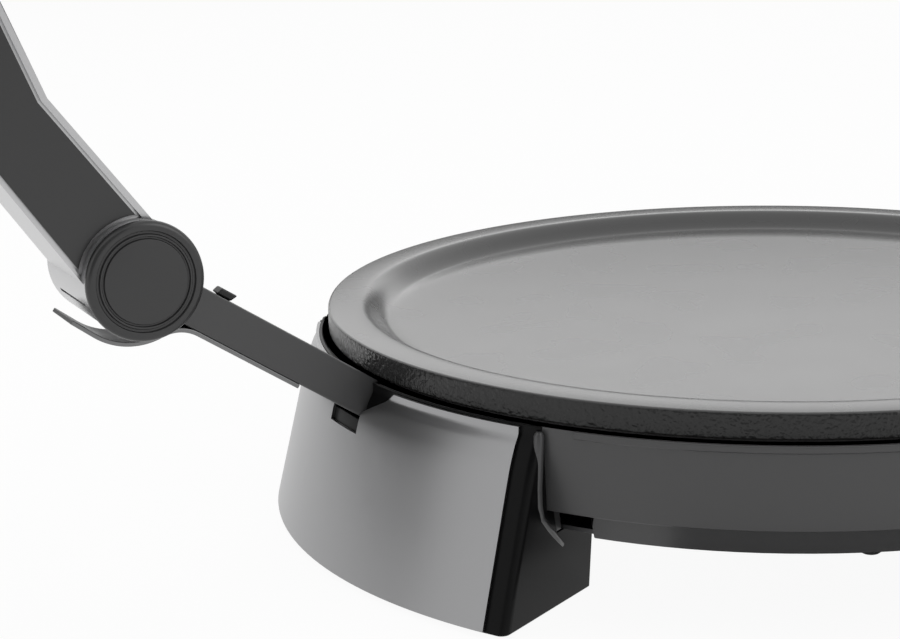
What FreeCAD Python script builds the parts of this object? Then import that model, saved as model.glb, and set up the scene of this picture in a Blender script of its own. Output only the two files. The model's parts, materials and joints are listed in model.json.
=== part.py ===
import FreeCAD, Part
import math
import os

# Electric crepe maker: a round cast plate on a drum with two wide legs, and a lid unit whose
# lower arm plugs into a socket in the rear leg. Millimetres, +Z up, +Y towards the hinge,
# +X to the right of someone who stands at the front. Everything is built about the plate's
# axis with the table at z = 0, and is moved at the end so that the origin is the bottom
# centre of the whole object's box. The rest pose is the open lid.

V = FreeCAD.Vector

# cooking plate
PLATE_R = 151.0
RIM_TOP_Z = 68.9
RIM_HEIGHT = 7.9
RIM_FLAT = 11.3
RIM_EDGE = 1.0
DISH_WALL = 9.5
DISH_DEPTH = 5.9
PLATE_FLOOR_T = 5.5
PLATE_SKIRT_W = 9.4

# drum shell
LIP_OUT = 3.2
LIP_T = 2.2
LIP_BELOW_RIM = 0.7
PLATE_GAP = 1.5
SHELL_T = 3.0
SHELL_TOP_INSET = 1.2
SHELL_TAPER = 4.0
STEP_Z = 33.7
STEP_IN = 3.5
DRUM_BOTTOM_Z = 25.2
LOWER_TAPER = 2.6
LEDGE_W = 7.5
LEDGE_T = 4.0
BOSS_R = 5.0
BOSS_H = 14.0
BOSS_COUNT = 8
BOSS_START_DEG = 22.5
LIP_GAP_DEG = 34.5
RELIEF_START_DEG = 30.0
RELIEF_END_DEG = 34.9
RELIEF_ROOF_T = 0.8

# bottom pan
PAN_T = 1.5
PAN_CLEAR = 0.3
VENT_COUNT = 12
VENT_R = 55.0
VENT_L = 26.0
VENT_W = 4.0

# legs
LEG_SPREAD = 20.1
LEG_SLOPE_DEG = 13.77
SHOULDER_H = 11.8
COLLAR_OUT = 4.2
COLLAR_H = 2.5
LEG_HALF_DEG = 29.4
LEG_DRAFT_DEG = 3.75
LEG_REACH_IN = 28.7
LEG_WALL = 2.4
LEG_CORNER = 2.7
SKIN_T = 1.0
SKIN_CLEAR = 0.1
SKIN_SETBACK = 7.1
SKIN_BOTTOM_GAP = 0.6
SKIN_TOP_GAP = 0.5
CAVITY_TOP_Z = 46.0
LEG_COVER_T = 2.0
LEG_COVER_CLEAR = 0.3
FOOT_H = 1.2
FOOT_R = 8.0
FOOT_INSET = 27.0
FOOT_DEG = 17.0

# seat of the arm in the rear leg
SLOT_HALF_W = 9.7
SLOT_BOTTOM_Z = 44.7
NOTCH_Z = 51.3
NOTCH_MID_HALF_W = 20.2
NOTCH_MID_Z = 56.6
NOTCH_HALF_W = 24.5
SLOT_REACH_IN = 51.0
SOCKET_WALL = 1.8
SOCKET_CLEAR = 0.3
SOCKET_EDGE_IN = 5.6
PASSAGE_OUT = 25.0
SOCKET_POST_W = 16.0
SOCKET_POST_L = 14.0

# hinge and lower arm
HINGE_OUT = 76.5
HINGE_Z = 103.5
ARM_SLOPE_DEG = 33.6
LOWER_ARM_W = 19.0
LOWER_ARM_H = 12.2
ARM_SEAT_IN = 18.0
EYE_R = 14.6
SHAFT_R = 5.0
RUN_CLEAR = 0.05
STRAP_T = 1.3
STRAP_END_U = 64.2
STRAP_ARC_R = 20.9
STRAP_BEND_R = 12.0
STRAP_TAIL_DEG = -53.0
STRAP_TAIL_L = 8.0
LEVER_U = 29.0
LEVER_L = 6.4
LEVER_W = 5.0
LEVER_H = 2.5
LEVER_STEM_W = 3.0
LEVER_STEM_L = 3.6
LEVER_TRAVEL = 4.0
LEVER_CLEAR = 0.3

# upper arm
OPEN_DEG = 112.0
BARREL_R = 16.9
BARREL_HALF_L = 20.0
ARM_HALF_W = 17.0
WINDOW_CLEAR = 0.8
WINDOW_REACH = 26.0
ARM_WALL = 3.2
ARM_PAST_CENTRE = 22.5
ARM_KINK = 58.4
ARM_TURN = 86.0
ARM_LOW_DEG = 15.0
ARM_UNDER = 1.6
ARM_BACK = 14.0
ARM_DEEP_P = 60.0
ARM_DEEP = 27.5
ARM_DEEP2_P = 118.0
ARM_DEEP2 = 30.0
ARM_NOSE = 15.0
PANEL_DEPTH = 1.6
PANEL_T = 1.0
PANEL_EDGE = 1.8
PANEL_BACK_EDGE = 0.8
PANEL_GAP = 0.9
PANEL_ARC_R = 17.6
PANEL_PAST_CENTRE = 10.5
ARM_COVER_T = 1.6
ARM_COVER_START = 74.0
ARM_COVER_END = 196.0
CAP_R = 17.5
FAR_CAP_R = 16.4
CAP_T = 2.2
CAP_EDGE = 0.4
CAP_PLUG_R = 11.0
CAP_PLUG_L = 4.0
CAP_GROOVE_R = 12.6
CAP_GROOVE2_R = 14.0
CAP_GROOVE_W = 0.5
BUSH_T = 0.9
PARTING_L = 25.0
PARTING_W = 1.0
PARTING_DEPTH = 0.8

# lid, given in its closed place over the plate
LID_INSET = 10.0
LID_SEAT_GAP = 0.4
LID_TRIM_H = 3.0
LID_TRIM_W = 5.5
LID_WALL_H = 12.0
LID_ROUND = 10.0
LID_CROWN = 5.0
LID_T = 1.5
LINER_T = 1.2
LINER_CLEAR = 0.3
MOUNT_R = 24.0
MOUNT_FLANGE_T = 2.5
MOUNT_BLOCK_W = 28.0
MOUNT_BLOCK_L = 34.0
MOUNT_SCREW_SPAN = 20.0
SCREW_R = 2.0
SCREW_HEAD_R = 4.0
SCREW_HEAD_T = 2.4
SCREW_CLEAR = 0.1
HANDLE_SPAN = 90.0
HANDLE_GRIP_L = 124.0
HANDLE_GRIP_R = 9.0
HANDLE_REACH = 31.0
HANDLE_Z = 79.0
POST_R = 5.0

# heating
ELEMENT_INSET = 46.0
ELEMENT_TUBE_R = 4.0
ELEMENT_GAP_DEG = 30.0
ELEMENT_LEG = 18.0
CLIP_COUNT = 4
CLIP_W = 9.0
CLIP_T = 1.2
REFLECTOR_T = 0.8
REFLECTOR_Z = 46.0
REFLECTOR_INSET = 23.0
REFLECTOR_RISE = 6.0
REFLECTOR_HOLE_R = 30.0
STUD_RING_R = 75.0
STUD_COUNT = 3
STUD_START_DEG = 30.0
STUD_R = 3.0
SPACER_R = 5.5
SPACER_CLEAR = 0.3
NUT_R = 5.5
NUT_T = 3.5

# controls on the front leg
PANEL_Z = 40.0
CONTROL_W = 96.0
CONTROL_H = 30.0
CONTROL_PROUD = 1.6
KNOB_R = 12.5
KNOB_H = 13.0
KNOB_GAP = 0.5
KNOB_SHAFT_R = 3.0
KNOB_SOCKET_L = 9.0
THERMO_W = 26.0
THERMO_H = 14.0
THERMO_L = 18.0
ROCKER_X = 34.0
ROCKER_W = 9.0
ROCKER_H = 15.0
ROCKER_FRAME = 2.0
ROCKER_DEEP = 12.0
ROCKER_CLEAR = 0.7
ROCKER_PROUD = 1.6
LAMP_X = 34.0
LAMP_PITCH = 12.0
LAMP_R = 2.4
LAMP_L = 7.0
LAMP_PROUD = 0.8

# mains inlet on the right wall
INLET_W = 27.0
INLET_H = 15.0
INLET_L = 20.0
INLET_WALL = 2.0
INLET_FLANGE = 1.6
INLET_Z = 38.0
INLET_PIN_L = 13.0
INLET_PIN_W = 2.0
INLET_PIN_T = 4.0
INLET_PIN_PITCH = 7.0
BLOCK_L = 30.0
BLOCK_W = 14.0
BLOCK_H = 12.0
FUSE_R = 3.0
FUSE_L = 16.0

# places that follow from the sizes above
RIM_BOTTOM_Z = RIM_TOP_Z - RIM_HEIGHT
LIP_TOP_Z = RIM_BOTTOM_Z - LIP_BELOW_RIM
LIP_R = PLATE_R + LIP_OUT
PLATE_UNDER_Z = RIM_TOP_Z - DISH_DEPTH - PLATE_FLOOR_T
SHELL_TOP_R = LIP_R - SHELL_TOP_INSET
SHELL_STEP_R = SHELL_TOP_R - SHELL_TAPER
DRUM_BOTTOM_R = SHELL_STEP_R - STEP_IN - LOWER_TAPER
PAN_TOP_Z = DRUM_BOTTOM_Z + PAN_T
PAN_R = DRUM_BOTTOM_R - SHELL_T - PAN_CLEAR
LEG_TOP_Z = LIP_TOP_Z
LEG_FOOT_R = PLATE_R + LEG_SPREAD
LEG_INNER_R = PLATE_R - LEG_REACH_IN
FOOT_RING_R = LEG_FOOT_R - FOOT_INSET
COLLAR_R = PLATE_R + COLLAR_OUT
COLLAR_Z = LIP_TOP_Z - COLLAR_H
SHOULDER_Z = COLLAR_Z - SHOULDER_H
CONE_SLOPE = math.tan(math.radians(LEG_SLOPE_DEG))
SHOULDER_IN = LEG_FOOT_R - CONE_SLOPE * COLLAR_Z - COLLAR_R
HINGE_Y = PLATE_R + HINGE_OUT
ARM_FRONT = HINGE_Y + ARM_PAST_CENTRE
PANEL_END = HINGE_Y + PANEL_PAST_CENTRE
LID_R = PLATE_R - LID_INSET
ELEMENT_R = PLATE_R - ELEMENT_INSET
REFLECTOR_R = PLATE_R - REFLECTOR_INSET
COS_A = math.cos(math.radians(ARM_SLOPE_DEG))
SIN_A = math.sin(math.radians(ARM_SLOPE_DEG))
LOWER_ARM_LENGTH = (HINGE_OUT + ARM_SEAT_IN) / COS_A
SOCKET_START_U = (HINGE_OUT + SOCKET_EDGE_IN) / COS_A
PASSAGE_START_U = (HINGE_OUT - PASSAGE_OUT) / COS_A
LID_BOTTOM_Z = RIM_TOP_Z + LID_SEAT_GAP
LID_WALL_Z = LID_BOTTOM_Z + LID_TRIM_H
LID_SHOULDER_Z = LID_WALL_Z + LID_WALL_H + LID_ROUND
LID_TOP_Z = LID_SHOULDER_Z + LID_CROWN
ARM_UNDER_Z = HINGE_Z + ARM_UNDER
STRAP_MID_V = -(LOWER_ARM_H + STRAP_T) / 2
STUD_BOTTOM_Z = DRUM_BOTTOM_Z - NUT_T


# helpers
def cone_r(z):
    # outer radius of a leg: a cone, a shoulder that curves in, and an upright collar
    low = min(z, COLLAR_Z)
    r = LEG_FOOT_R - CONE_SLOPE * low
    if low > SHOULDER_Z:
        r -= SHOULDER_IN * ((low - SHOULDER_Z) / SHOULDER_H) ** 2
    return r


def face(points):
    return Part.Face(Part.makePolygon(points + [points[0]]))


def ring(profile, degrees=360.0):
    # solid of revolution about Z of an (r, z) outline
    return face([V(r, 0, z) for r, z in profile]).revolve(V(0, 0, 0), V(0, 0, 1), degrees)


def slab_x(profile, x0, x1):
    # (y, z) outline pushed along X
    return face([V(x0, y, z) for y, z in profile]).extrude(V(x1 - x0, 0, 0))


def slab_y(profile, y0, y1):
    # (x, z) outline pushed along Y
    return face([V(x, y0, z) for x, z in profile]).extrude(V(0, y1 - y0, 0))


def box(x0, x1, y0, y1, z0, z1):
    return Part.makeBox(x1 - x0, y1 - y0, z1 - z0, V(x0, y0, z0))


def rod(r, start, direction, length):
    return Part.makeCylinder(r, length, start, direction)


def join(shapes):
    return shapes[0].multiFuse(shapes[1:]).removeSplitter()


def group(shapes):
    return Part.makeCompound(shapes)


def turned(shape, degrees, centre=V(0, 0, 0), axis=V(0, 0, 1)):
    copy = shape.copy()
    copy.rotate(centre, axis, degrees)
    return copy


def arm_point(u, v):
    # u runs from the hinge down the lower arm, v is up from its middle
    return (HINGE_Y - u * COS_A - v * SIN_A, HINGE_Z - u * SIN_A + v * COS_A)


def arm_slab(profile, x0, x1):
    return slab_x([arm_point(u, v) for u, v in profile], x0, x1)


def arm_box(u0, u1, v0, v1, half_w):
    return arm_slab([(u0, v0), (u1, v0), (u1, v1), (u0, v1)], -half_w, half_w)


def open_pose(shape):
    # from the closed place to the rest pose
    return turned(shape, -OPEN_DEG, V(0, HINGE_Y, HINGE_Z), V(1, 0, 0))


def reach_point(p, q):
    # p is forward of the hinge and q above it with the lid closed
    return (HINGE_Y - p, HINGE_Z + q)


def control_frame(shape):
    # a piece drawn about the origin, +Z outwards and +Y up, goes to the sloping panel
    copy = turned(shape, 90.0 - LEG_SLOPE_DEG, V(0, 0, 0), V(1, 0, 0))
    copy.translate(V(0, -cone_r(PANEL_Z), PANEL_Z))
    return copy


# drum
def shell_profile():
    step_inner_z = STEP_Z + SHELL_T
    ledge_in = PLATE_R - PLATE_SKIRT_W + 0.4
    ledge_out = ledge_in + LEDGE_W
    groove_z = LIP_TOP_Z - LIP_T
    return [
        (LIP_R, groove_z), (LIP_R, LIP_TOP_Z), (PLATE_R + PLATE_GAP, LIP_TOP_Z),
        (PLATE_R + PLATE_GAP, groove_z), (ledge_out, groove_z), (ledge_out, RIM_BOTTOM_Z),
        (ledge_in, RIM_BOTTOM_Z), (ledge_in, RIM_BOTTOM_Z - LEDGE_T),
        (SHELL_TOP_R - 2 * SHELL_T, groove_z - SHELL_T),
        (SHELL_STEP_R - SHELL_T, step_inner_z),
        (DRUM_BOTTOM_R + STEP_IN / 2 - SHELL_T, STEP_Z),
        (DRUM_BOTTOM_R - SHELL_T, DRUM_BOTTOM_Z),
        (DRUM_BOTTOM_R, DRUM_BOTTOM_Z), (SHELL_STEP_R - STEP_IN, STEP_Z), (SHELL_STEP_R, STEP_Z),
        (SHELL_TOP_R, groove_z),
    ]


def arm_passage(half_w, clear):
    # room for the lower arm through a wall, open upwards
    low = -LOWER_ARM_H / 2 - clear
    top = LIP_TOP_Z + 20.0
    start, end = arm_point(PASSAGE_START_U, low), arm_point(LOWER_ARM_LENGTH + 12.0, low)
    return slab_x([start, end, (end[0], top), (start[0], top)], -half_w, half_w)


def sector_cut(half_deg, r_in, r_out, z0, z1, centre_deg):
    a = math.radians(half_deg)
    far = 2 * r_out
    wedge = face([V(0, 0, z0), V(far * math.sin(a), far * math.cos(a), z0),
                  V(-far * math.sin(a), far * math.cos(a), z0)]).extrude(V(0, 0, z1 - z0))
    tube = ring([(r_in, z0), (r_out, z0), (r_out, z1), (r_in, z1)])
    return turned(tube.common(wedge), centre_deg)


def leg_top_half_deg():
    grow = math.tan(math.radians(LEG_DRAFT_DEG)) * LEG_TOP_Z
    return LEG_HALF_DEG + math.degrees(grow / COLLAR_R)


def boss_places(where):
    # centres of the bosses that screw to the legs, to the pan alone, or both
    out = []
    r = DRUM_BOTTOM_R - SHELL_T - BOSS_R + 1.0
    for i in range(BOSS_COUNT):
        a = math.radians(BOSS_START_DEG + 360.0 * i / BOSS_COUNT)
        in_leg = r * math.cos(a) > r * math.cos(math.radians(LEG_HALF_DEG))
        in_leg = in_leg or r * math.cos(a) < -r * math.cos(math.radians(LEG_HALF_DEG))
        if where == "all" or (where == "leg") == in_leg:
            out.append((r * math.sin(a), r * math.cos(a)))
    return out


def make_base_shell():
    shell = ring(shell_profile())
    extras = []
    for x, y in boss_places("all"):
        extras.append(rod(BOSS_R, V(x, y, PAN_TOP_Z), V(0, 0, 1), BOSS_H))
    shell = join([shell] + extras)
    cuts = []
    for x, y in boss_places("all"):
        cuts.append(rod(SCREW_R, V(x, y, PAN_TOP_Z), V(0, 0, 1), BOSS_H - 3.0))
    # the lip stops short of each leg, and the lower tier is cut away beside it
    half = max(LIP_GAP_DEG, leg_top_half_deg() + 0.6)
    relief_half = (RELIEF_END_DEG - RELIEF_START_DEG) / 2
    relief_mid = (RELIEF_END_DEG + RELIEF_START_DEG) / 2
    for centre in (0.0, 180.0):
        cuts.append(sector_cut(half, SHELL_TOP_R, LIP_R + 5.0, STEP_Z + 1.0, LIP_TOP_Z + 5.0, centre))
        for s in (-1, 1):
            cuts.append(sector_cut(relief_half, DRUM_BOTTOM_R - SHELL_T - 2.0, SHELL_STEP_R,
                                   DRUM_BOTTOM_Z - 1.0, STEP_Z - RELIEF_ROOF_T, centre + s * relief_mid))
    socket_half = LOWER_ARM_W / 2 + SOCKET_CLEAR + SOCKET_WALL + 0.5
    cuts.append(arm_passage(socket_half, SOCKET_CLEAR + SOCKET_WALL + 0.5))
    depth = thermo_depth()
    cuts.append(control_frame(rod(KNOB_SHAFT_R + 1.0, V(0, 0, -depth), V(0, 0, 1), 1.5 * depth)))
    for x in (-LAMP_X - LAMP_PITCH / 2, -LAMP_X + LAMP_PITCH / 2):
        cuts.append(control_frame(rod(LAMP_R + 1.0, V(x, 0, -LAMP_L - 4.0), V(0, 0, 1), 30.0)))
    cuts.append(rocker_hole(ROCKER_CLEAR + 0.6))
    cuts.append(box(PAN_R - INLET_L, LIP_R + 5.0, -INLET_W / 2 - 0.3, INLET_W / 2 + 0.3,
                    INLET_Z - INLET_H / 2 - 0.3, INLET_Z + INLET_H / 2 + 0.3))
    return shell.cut(cuts)


def make_base_pan():
    pan = ring([(0, DRUM_BOTTOM_Z), (PAN_R, DRUM_BOTTOM_Z), (PAN_R, PAN_TOP_Z), (0, PAN_TOP_Z)])
    cuts = []
    for i in range(VENT_COUNT):
        slot = box(VENT_R - VENT_L / 2, VENT_R + VENT_L / 2, -VENT_W / 2, VENT_W / 2,
                   DRUM_BOTTOM_Z - 1, PAN_TOP_Z + 1)
        cuts.append(turned(slot, 360.0 * (i + 0.5) / VENT_COUNT))
    for x, y in stud_places():
        cuts.append(rod(STUD_R + SCREW_CLEAR, V(x, y, DRUM_BOTTOM_Z - 1), V(0, 0, 1), PAN_T + 2))
    for x, y in boss_places("all"):
        cuts.append(rod(SCREW_R + SCREW_CLEAR, V(x, y, DRUM_BOTTOM_Z - 1), V(0, 0, 1), PAN_T + 2))
    for y in socket_screw_places():
        cuts.append(rod(SCREW_R + SCREW_CLEAR, V(0, y, DRUM_BOTTOM_Z - 1), V(0, 0, 1), PAN_T + 2))
    return pan.cut(cuts)


# legs
def leg_wedge(inset, z0, z1):
    a = math.radians(LEG_HALF_DEG)
    far = 2 * LEG_FOOT_R
    wires = []
    for z in (z0, z1):
        o = math.tan(math.radians(LEG_DRAFT_DEG)) * z - inset
        pts = [V(0, -o / math.sin(a), z),
               V(far * math.sin(a) + o * math.cos(a), far * math.cos(a) - o * math.sin(a), z),
               V(-far * math.sin(a) - o * math.cos(a), far * math.cos(a) - o * math.sin(a), z)]
        wires.append(Part.makePolygon(pts + [pts[0]]))
    return Part.makeLoft(wires, True, True)


def leg_space(inner_r, outer, clear, z0, z1):
    # (r, z) outline of what lies outside the drum, out to the given (r, z) points
    lip_z = LIP_TOP_Z - LIP_T
    if z1 > lip_z:
        wall = [(SHELL_TOP_R + clear, z1), (SHELL_TOP_R + clear, lip_z)]
    else:
        wall = [(SHELL_TOP_R - SHELL_TAPER * (lip_z - z1) / (lip_z - STEP_Z) + clear, z1)]
    return [(inner_r, z0)] + outer + wall + [
        (SHELL_STEP_R + clear, STEP_Z - clear), (SHELL_STEP_R - STEP_IN + clear, STEP_Z - clear),
        (DRUM_BOTTOM_R + clear, DRUM_BOTTOM_Z - clear), (inner_r, DRUM_BOTTOM_Z - clear),
    ]


def leg_form(under):
    # solid of revolution inside the legs' curved outer face
    heights = [SHOULDER_Z * k / 4.0 for k in range(-1, 4)]
    heights += [SHOULDER_Z + SHOULDER_H * k / 5.0 for k in range(5)]
    heights += [COLLAR_Z, COLLAR_Z + 0.5 * COLLAR_H, LEG_TOP_Z, LEG_TOP_Z + 3.0]
    curve = Part.BSplineCurve()
    curve.interpolate([V(cone_r(z) - under, 0, z) for z in heights])
    low, top = V(0, 0, heights[0]), V(0, 0, heights[-1])
    ends = [V(cone_r(z) - under, 0, z) for z in (heights[0], heights[-1])]
    edges = [curve.toShape(), Part.makeLine(ends[1], top), Part.makeLine(top, low),
             Part.makeLine(low, ends[0])]
    return Part.Face(Part.Wire(edges)).revolve(V(0, 0, 0), V(0, 0, 1), 360.0)


def left_corner(shape):
    # the long corner edge of a leg on the -X side
    found = []
    for edge in shape.Edges:
        bounds = edge.BoundBox
        if bounds.ZLength > 0.9 * (LEG_TOP_Z - FOOT_H) and bounds.XMax < -0.2 * LEG_INNER_R:
            found.append(edge)
    return found


def make_leg_blank():
    whole = leg_form(SKIN_T + SKIN_CLEAR).common(leg_wedge(0.0, FOOT_H, LEG_TOP_Z))
    whole = whole.makeFillet(LEG_CORNER, left_corner(whole))
    far = LEG_FOOT_R + 10.0
    half = whole.common(box(-far, 0.0, 0.0, far, FOOT_H, LEG_TOP_Z))
    whole = join([half, half.mirror(V(0, 0, 0), V(1, 0, 0))])
    outline = leg_space(LEG_INNER_R, [(far, FOOT_H), (far, LEG_TOP_Z)], 0.0, FOOT_H, LEG_TOP_Z)
    return whole.common(ring(outline))


def make_leg_cavity():
    z0, z1, under = FOOT_H - 1.0, CAVITY_TOP_Z, SKIN_T + LEG_WALL
    outer = [(cone_r(z0) - under, z0), (cone_r(min(z1, SHOULDER_Z)) - under, min(z1, SHOULDER_Z)),
             (cone_r(z1) - under, z1 + 0.01)]
    outline = leg_space(LEG_INNER_R + LEG_WALL, outer, LEG_WALL, z0, z1 + 0.01)
    return ring(outline).common(leg_wedge(LEG_WALL, z0, z1))


def make_leg_box():
    # hollow body with the screw holes in its roof
    holes = [rod(SCREW_R + SCREW_CLEAR, V(x, y, DRUM_BOTTOM_Z - 10), V(0, 0, 1), 20)
             for x, y in boss_places("leg")]
    return make_leg_blank().cut([make_leg_cavity()] + holes)


def make_rear_leg():
    return make_leg_box().cut(arm_passage(SLOT_HALF_W + 0.3, 1.0))


def slot_cut():
    deep = cone_r(0) + 5.0
    half = SLOT_HALF_W
    top = LEG_TOP_Z + 10.0
    right = [(half, SLOT_BOTTOM_Z), (half, NOTCH_Z), (NOTCH_MID_HALF_W, NOTCH_MID_Z),
             (NOTCH_HALF_W, LIP_TOP_Z - SKIN_TOP_GAP), (NOTCH_HALF_W, top)]
    left = [(-x, z) for x, z in reversed(right)]
    return slab_y(right + left, PLATE_R - SLOT_REACH_IN, deep)


def make_skin_blank():
    z0, z1 = FOOT_H + SKIN_BOTTOM_GAP, LIP_TOP_Z - SKIN_TOP_GAP
    return leg_form(0.0).common(leg_wedge(SKIN_SETBACK, z0, z1)).cut(leg_form(SKIN_T))


def make_rear_skin():
    return make_skin_blank().cut(slot_cut())


def rocker_hole(clear):
    w, h = ROCKER_W / 2 + ROCKER_FRAME + clear, ROCKER_H / 2 + ROCKER_FRAME + clear
    return control_frame(box(ROCKER_X - w, ROCKER_X + w, -h, h, -ROCKER_DEEP - 4.0, 20.0))


def panel_cuts():
    cuts = [control_frame(rod(KNOB_SHAFT_R + 1.0, V(0, 0, -30.0), V(0, 0, 1), 60.0)),
            rocker_hole(ROCKER_CLEAR)]
    for x in (-LAMP_X - LAMP_PITCH / 2, -LAMP_X + LAMP_PITCH / 2):
        cuts.append(control_frame(rod(LAMP_R + SCREW_CLEAR, V(x, 0, -LAMP_L - 4.0), V(0, 0, 1), 30.0)))
    return cuts


def make_front_leg():
    leg = turned(make_leg_box(), 180.0)
    return leg.cut(panel_cuts())


def make_front_skin():
    return turned(make_skin_blank(), 180.0).cut(panel_cuts())


def make_leg_cover():
    z0, z1 = FOOT_H, FOOT_H + LEG_COVER_T
    under = SKIN_T + LEG_WALL + LEG_COVER_CLEAR
    inner = LEG_INNER_R + LEG_WALL + LEG_COVER_CLEAR
    plate = ring([(inner, z0), (cone_r(z1) - under, z0), (cone_r(z1) - under, z1), (inner, z1)])
    return plate.common(leg_wedge(LEG_WALL + LEG_COVER_CLEAR + 0.2, -1.0, 5.0))


def foot_places(centre):
    return [centre - FOOT_DEG, centre + FOOT_DEG]


def make_feet(centre):
    pads = []
    for deg in foot_places(centre):
        a = math.radians(deg)
        place = V(FOOT_RING_R * math.sin(a), FOOT_RING_R * math.cos(a), 0)
        pads.append(rod(FOOT_R, place, V(0, 0, 1), FOOT_H))
    return group(pads)


# plate and heating
def make_plate():
    floor_z = RIM_TOP_Z - DISH_DEPTH
    flat_r = PLATE_R - RIM_FLAT
    floor_r = flat_r - DISH_WALL
    skirt_r = PLATE_R - PLATE_SKIRT_W
    disc = ring([
        (0, PLATE_UNDER_Z), (skirt_r - 2.0, PLATE_UNDER_Z), (skirt_r, RIM_BOTTOM_Z),
        (PLATE_R, RIM_BOTTOM_Z), (PLATE_R, RIM_TOP_Z - RIM_EDGE), (PLATE_R - RIM_EDGE, RIM_TOP_Z), (flat_r, RIM_TOP_Z),
        (flat_r - 0.25 * DISH_WALL, RIM_TOP_Z - 0.35 * DISH_DEPTH),
        (flat_r - 0.7 * DISH_WALL, RIM_TOP_Z - 0.9 * DISH_DEPTH), (floor_r, floor_z), (0, floor_z)])
    holes = [rod(STUD_R, V(x, y, PLATE_UNDER_Z - 1.0), V(0, 0, 1), 4.0) for x, y in stud_places()]
    return disc.cut(holes)


def stud_places():
    out = []
    for i in range(STUD_COUNT):
        a = math.radians(STUD_START_DEG + 360.0 * i / STUD_COUNT)
        out.append((STUD_RING_R * math.cos(a), STUD_RING_R * math.sin(a)))
    return out


def make_studs():
    top = PLATE_UNDER_Z + 3.0
    return group([rod(STUD_R, V(x, y, STUD_BOTTOM_Z - 1.0), V(0, 0, 1), top - STUD_BOTTOM_Z + 1.0)
                  for x, y in stud_places()])


def make_spacers():
    out = []
    height = REFLECTOR_Z - PAN_TOP_Z
    for x, y in stud_places():
        tube = rod(SPACER_R, V(x, y, PAN_TOP_Z), V(0, 0, 1), height)
        out.append(tube.cut(rod(STUD_R + SPACER_CLEAR, V(x, y, PAN_TOP_Z - 1), V(0, 0, 1), height + 2)))
    return group(out)


def make_nuts():
    out = []
    for x, y in stud_places():
        corners = [V(x + NUT_R * math.cos(math.radians(60 * k)), y + NUT_R * math.sin(math.radians(60 * k)),
                     STUD_BOTTOM_Z) for k in range(6)]
        nut = face(corners).extrude(V(0, 0, NUT_T))
        out.append(nut.cut(rod(STUD_R, V(x, y, STUD_BOTTOM_Z - 1), V(0, 0, 1), NUT_T + 2)))
    return group(out)


def make_reflector():
    r1, r2 = REFLECTOR_R - REFLECTOR_RISE, REFLECTOR_R
    z = REFLECTOR_Z
    up = z + REFLECTOR_RISE
    dish = ring([(REFLECTOR_HOLE_R, z), (r1, z), (r2, up), (r2, up + REFLECTOR_T),
                 (r1, z + REFLECTOR_T), (REFLECTOR_HOLE_R, z + REFLECTOR_T)])
    cuts = [rod(STUD_R + SCREW_CLEAR, V(x, y, z - 1), V(0, 0, 1), 4) for x, y in stud_places()]
    half = math.radians(ELEMENT_GAP_DEG / 2)
    for s in (-1, 1):
        place = V(ELEMENT_R * math.cos(half), s * ELEMENT_R * math.sin(half), z - 2)
        cuts.append(rod(ELEMENT_TUBE_R + 1.0, place, V(0, 0, 1), 8))
    return dish.cut(cuts)


def make_element():
    z = PLATE_UNDER_Z - ELEMENT_TUBE_R - 0.1
    half = math.radians(ELEMENT_GAP_DEG / 2)
    tube = Part.makeTorus(ELEMENT_R, ELEMENT_TUBE_R, V(0, 0, z), V(0, 0, 1), 0, 360, 360 - ELEMENT_GAP_DEG)
    tube = turned(tube, ELEMENT_GAP_DEG / 2)
    legs = []
    for s in (-1, 1):
        end = V(ELEMENT_R * math.cos(half), s * ELEMENT_R * math.sin(half), z)
        legs.append(Part.makeSphere(ELEMENT_TUBE_R, end))
        legs.append(rod(ELEMENT_TUBE_R, V(end.x, end.y, z - ELEMENT_LEG), V(0, 0, 1), ELEMENT_LEG))
    return join([tube] + legs)


def make_clips():
    out = []
    top = PLATE_UNDER_Z
    low = top - 2 * ELEMENT_TUBE_R - 0.4
    for i in range(CLIP_COUNT):
        inner, outer = ELEMENT_R - ELEMENT_TUBE_R - 0.4, ELEMENT_R + ELEMENT_TUBE_R + 0.4
        seat, base = top - CLIP_T, low - CLIP_T
        saddle = [(inner - 7, top), (inner - 7, seat), (inner - CLIP_T, seat), (inner - CLIP_T, base),
                  (outer + CLIP_T, base), (outer + CLIP_T, seat), (outer + 7, seat), (outer + 7, top),
                  (outer, top), (outer, low), (inner, low), (inner, top)]
        clip = slab_y(saddle, -CLIP_W / 2, CLIP_W / 2)
        out.append(turned(clip, 45.0 + 360.0 * i / CLIP_COUNT))
    return group(out)


# lower arm and its seat
def socket_screw_places():
    y = arm_point(LOWER_ARM_LENGTH, 0)[0]
    return [y - 4.0, y + 4.0]


def make_arm_socket():
    end = LOWER_ARM_LENGTH + SOCKET_CLEAR
    half_h = LOWER_ARM_H / 2 + SOCKET_CLEAR
    half_w = LOWER_ARM_W / 2 + SOCKET_CLEAR
    sleeve = arm_box(SOCKET_START_U, end + SOCKET_WALL, -half_h - SOCKET_WALL, half_h + SOCKET_WALL,
                     half_w + SOCKET_WALL)
    y, z = arm_point(LOWER_ARM_LENGTH, 0)
    post = box(-SOCKET_POST_W / 2, SOCKET_POST_W / 2, y - SOCKET_POST_L / 2, y + SOCKET_POST_L / 2,
               PAN_TOP_Z, z)
    hole = arm_box(SOCKET_START_U - 5.0, end, -half_h, half_h, half_w)
    body = join([sleeve, post]).cut(hole)
    screws = [rod(SCREW_R, V(0, ys, PAN_TOP_Z - 1), V(0, 0, 1), 5.0) for ys in socket_screw_places()]
    return body.cut(screws)


def lever_slot():
    u0 = LEVER_U + (LEVER_L - LEVER_STEM_L) / 2 - LEVER_CLEAR
    u1 = u0 + LEVER_STEM_L + 2 * LEVER_CLEAR + LEVER_TRAVEL
    return arm_box(u0, u1, 1.5, LOWER_ARM_H / 2 + 1.0, LEVER_STEM_W / 2 + LEVER_CLEAR)


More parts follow.
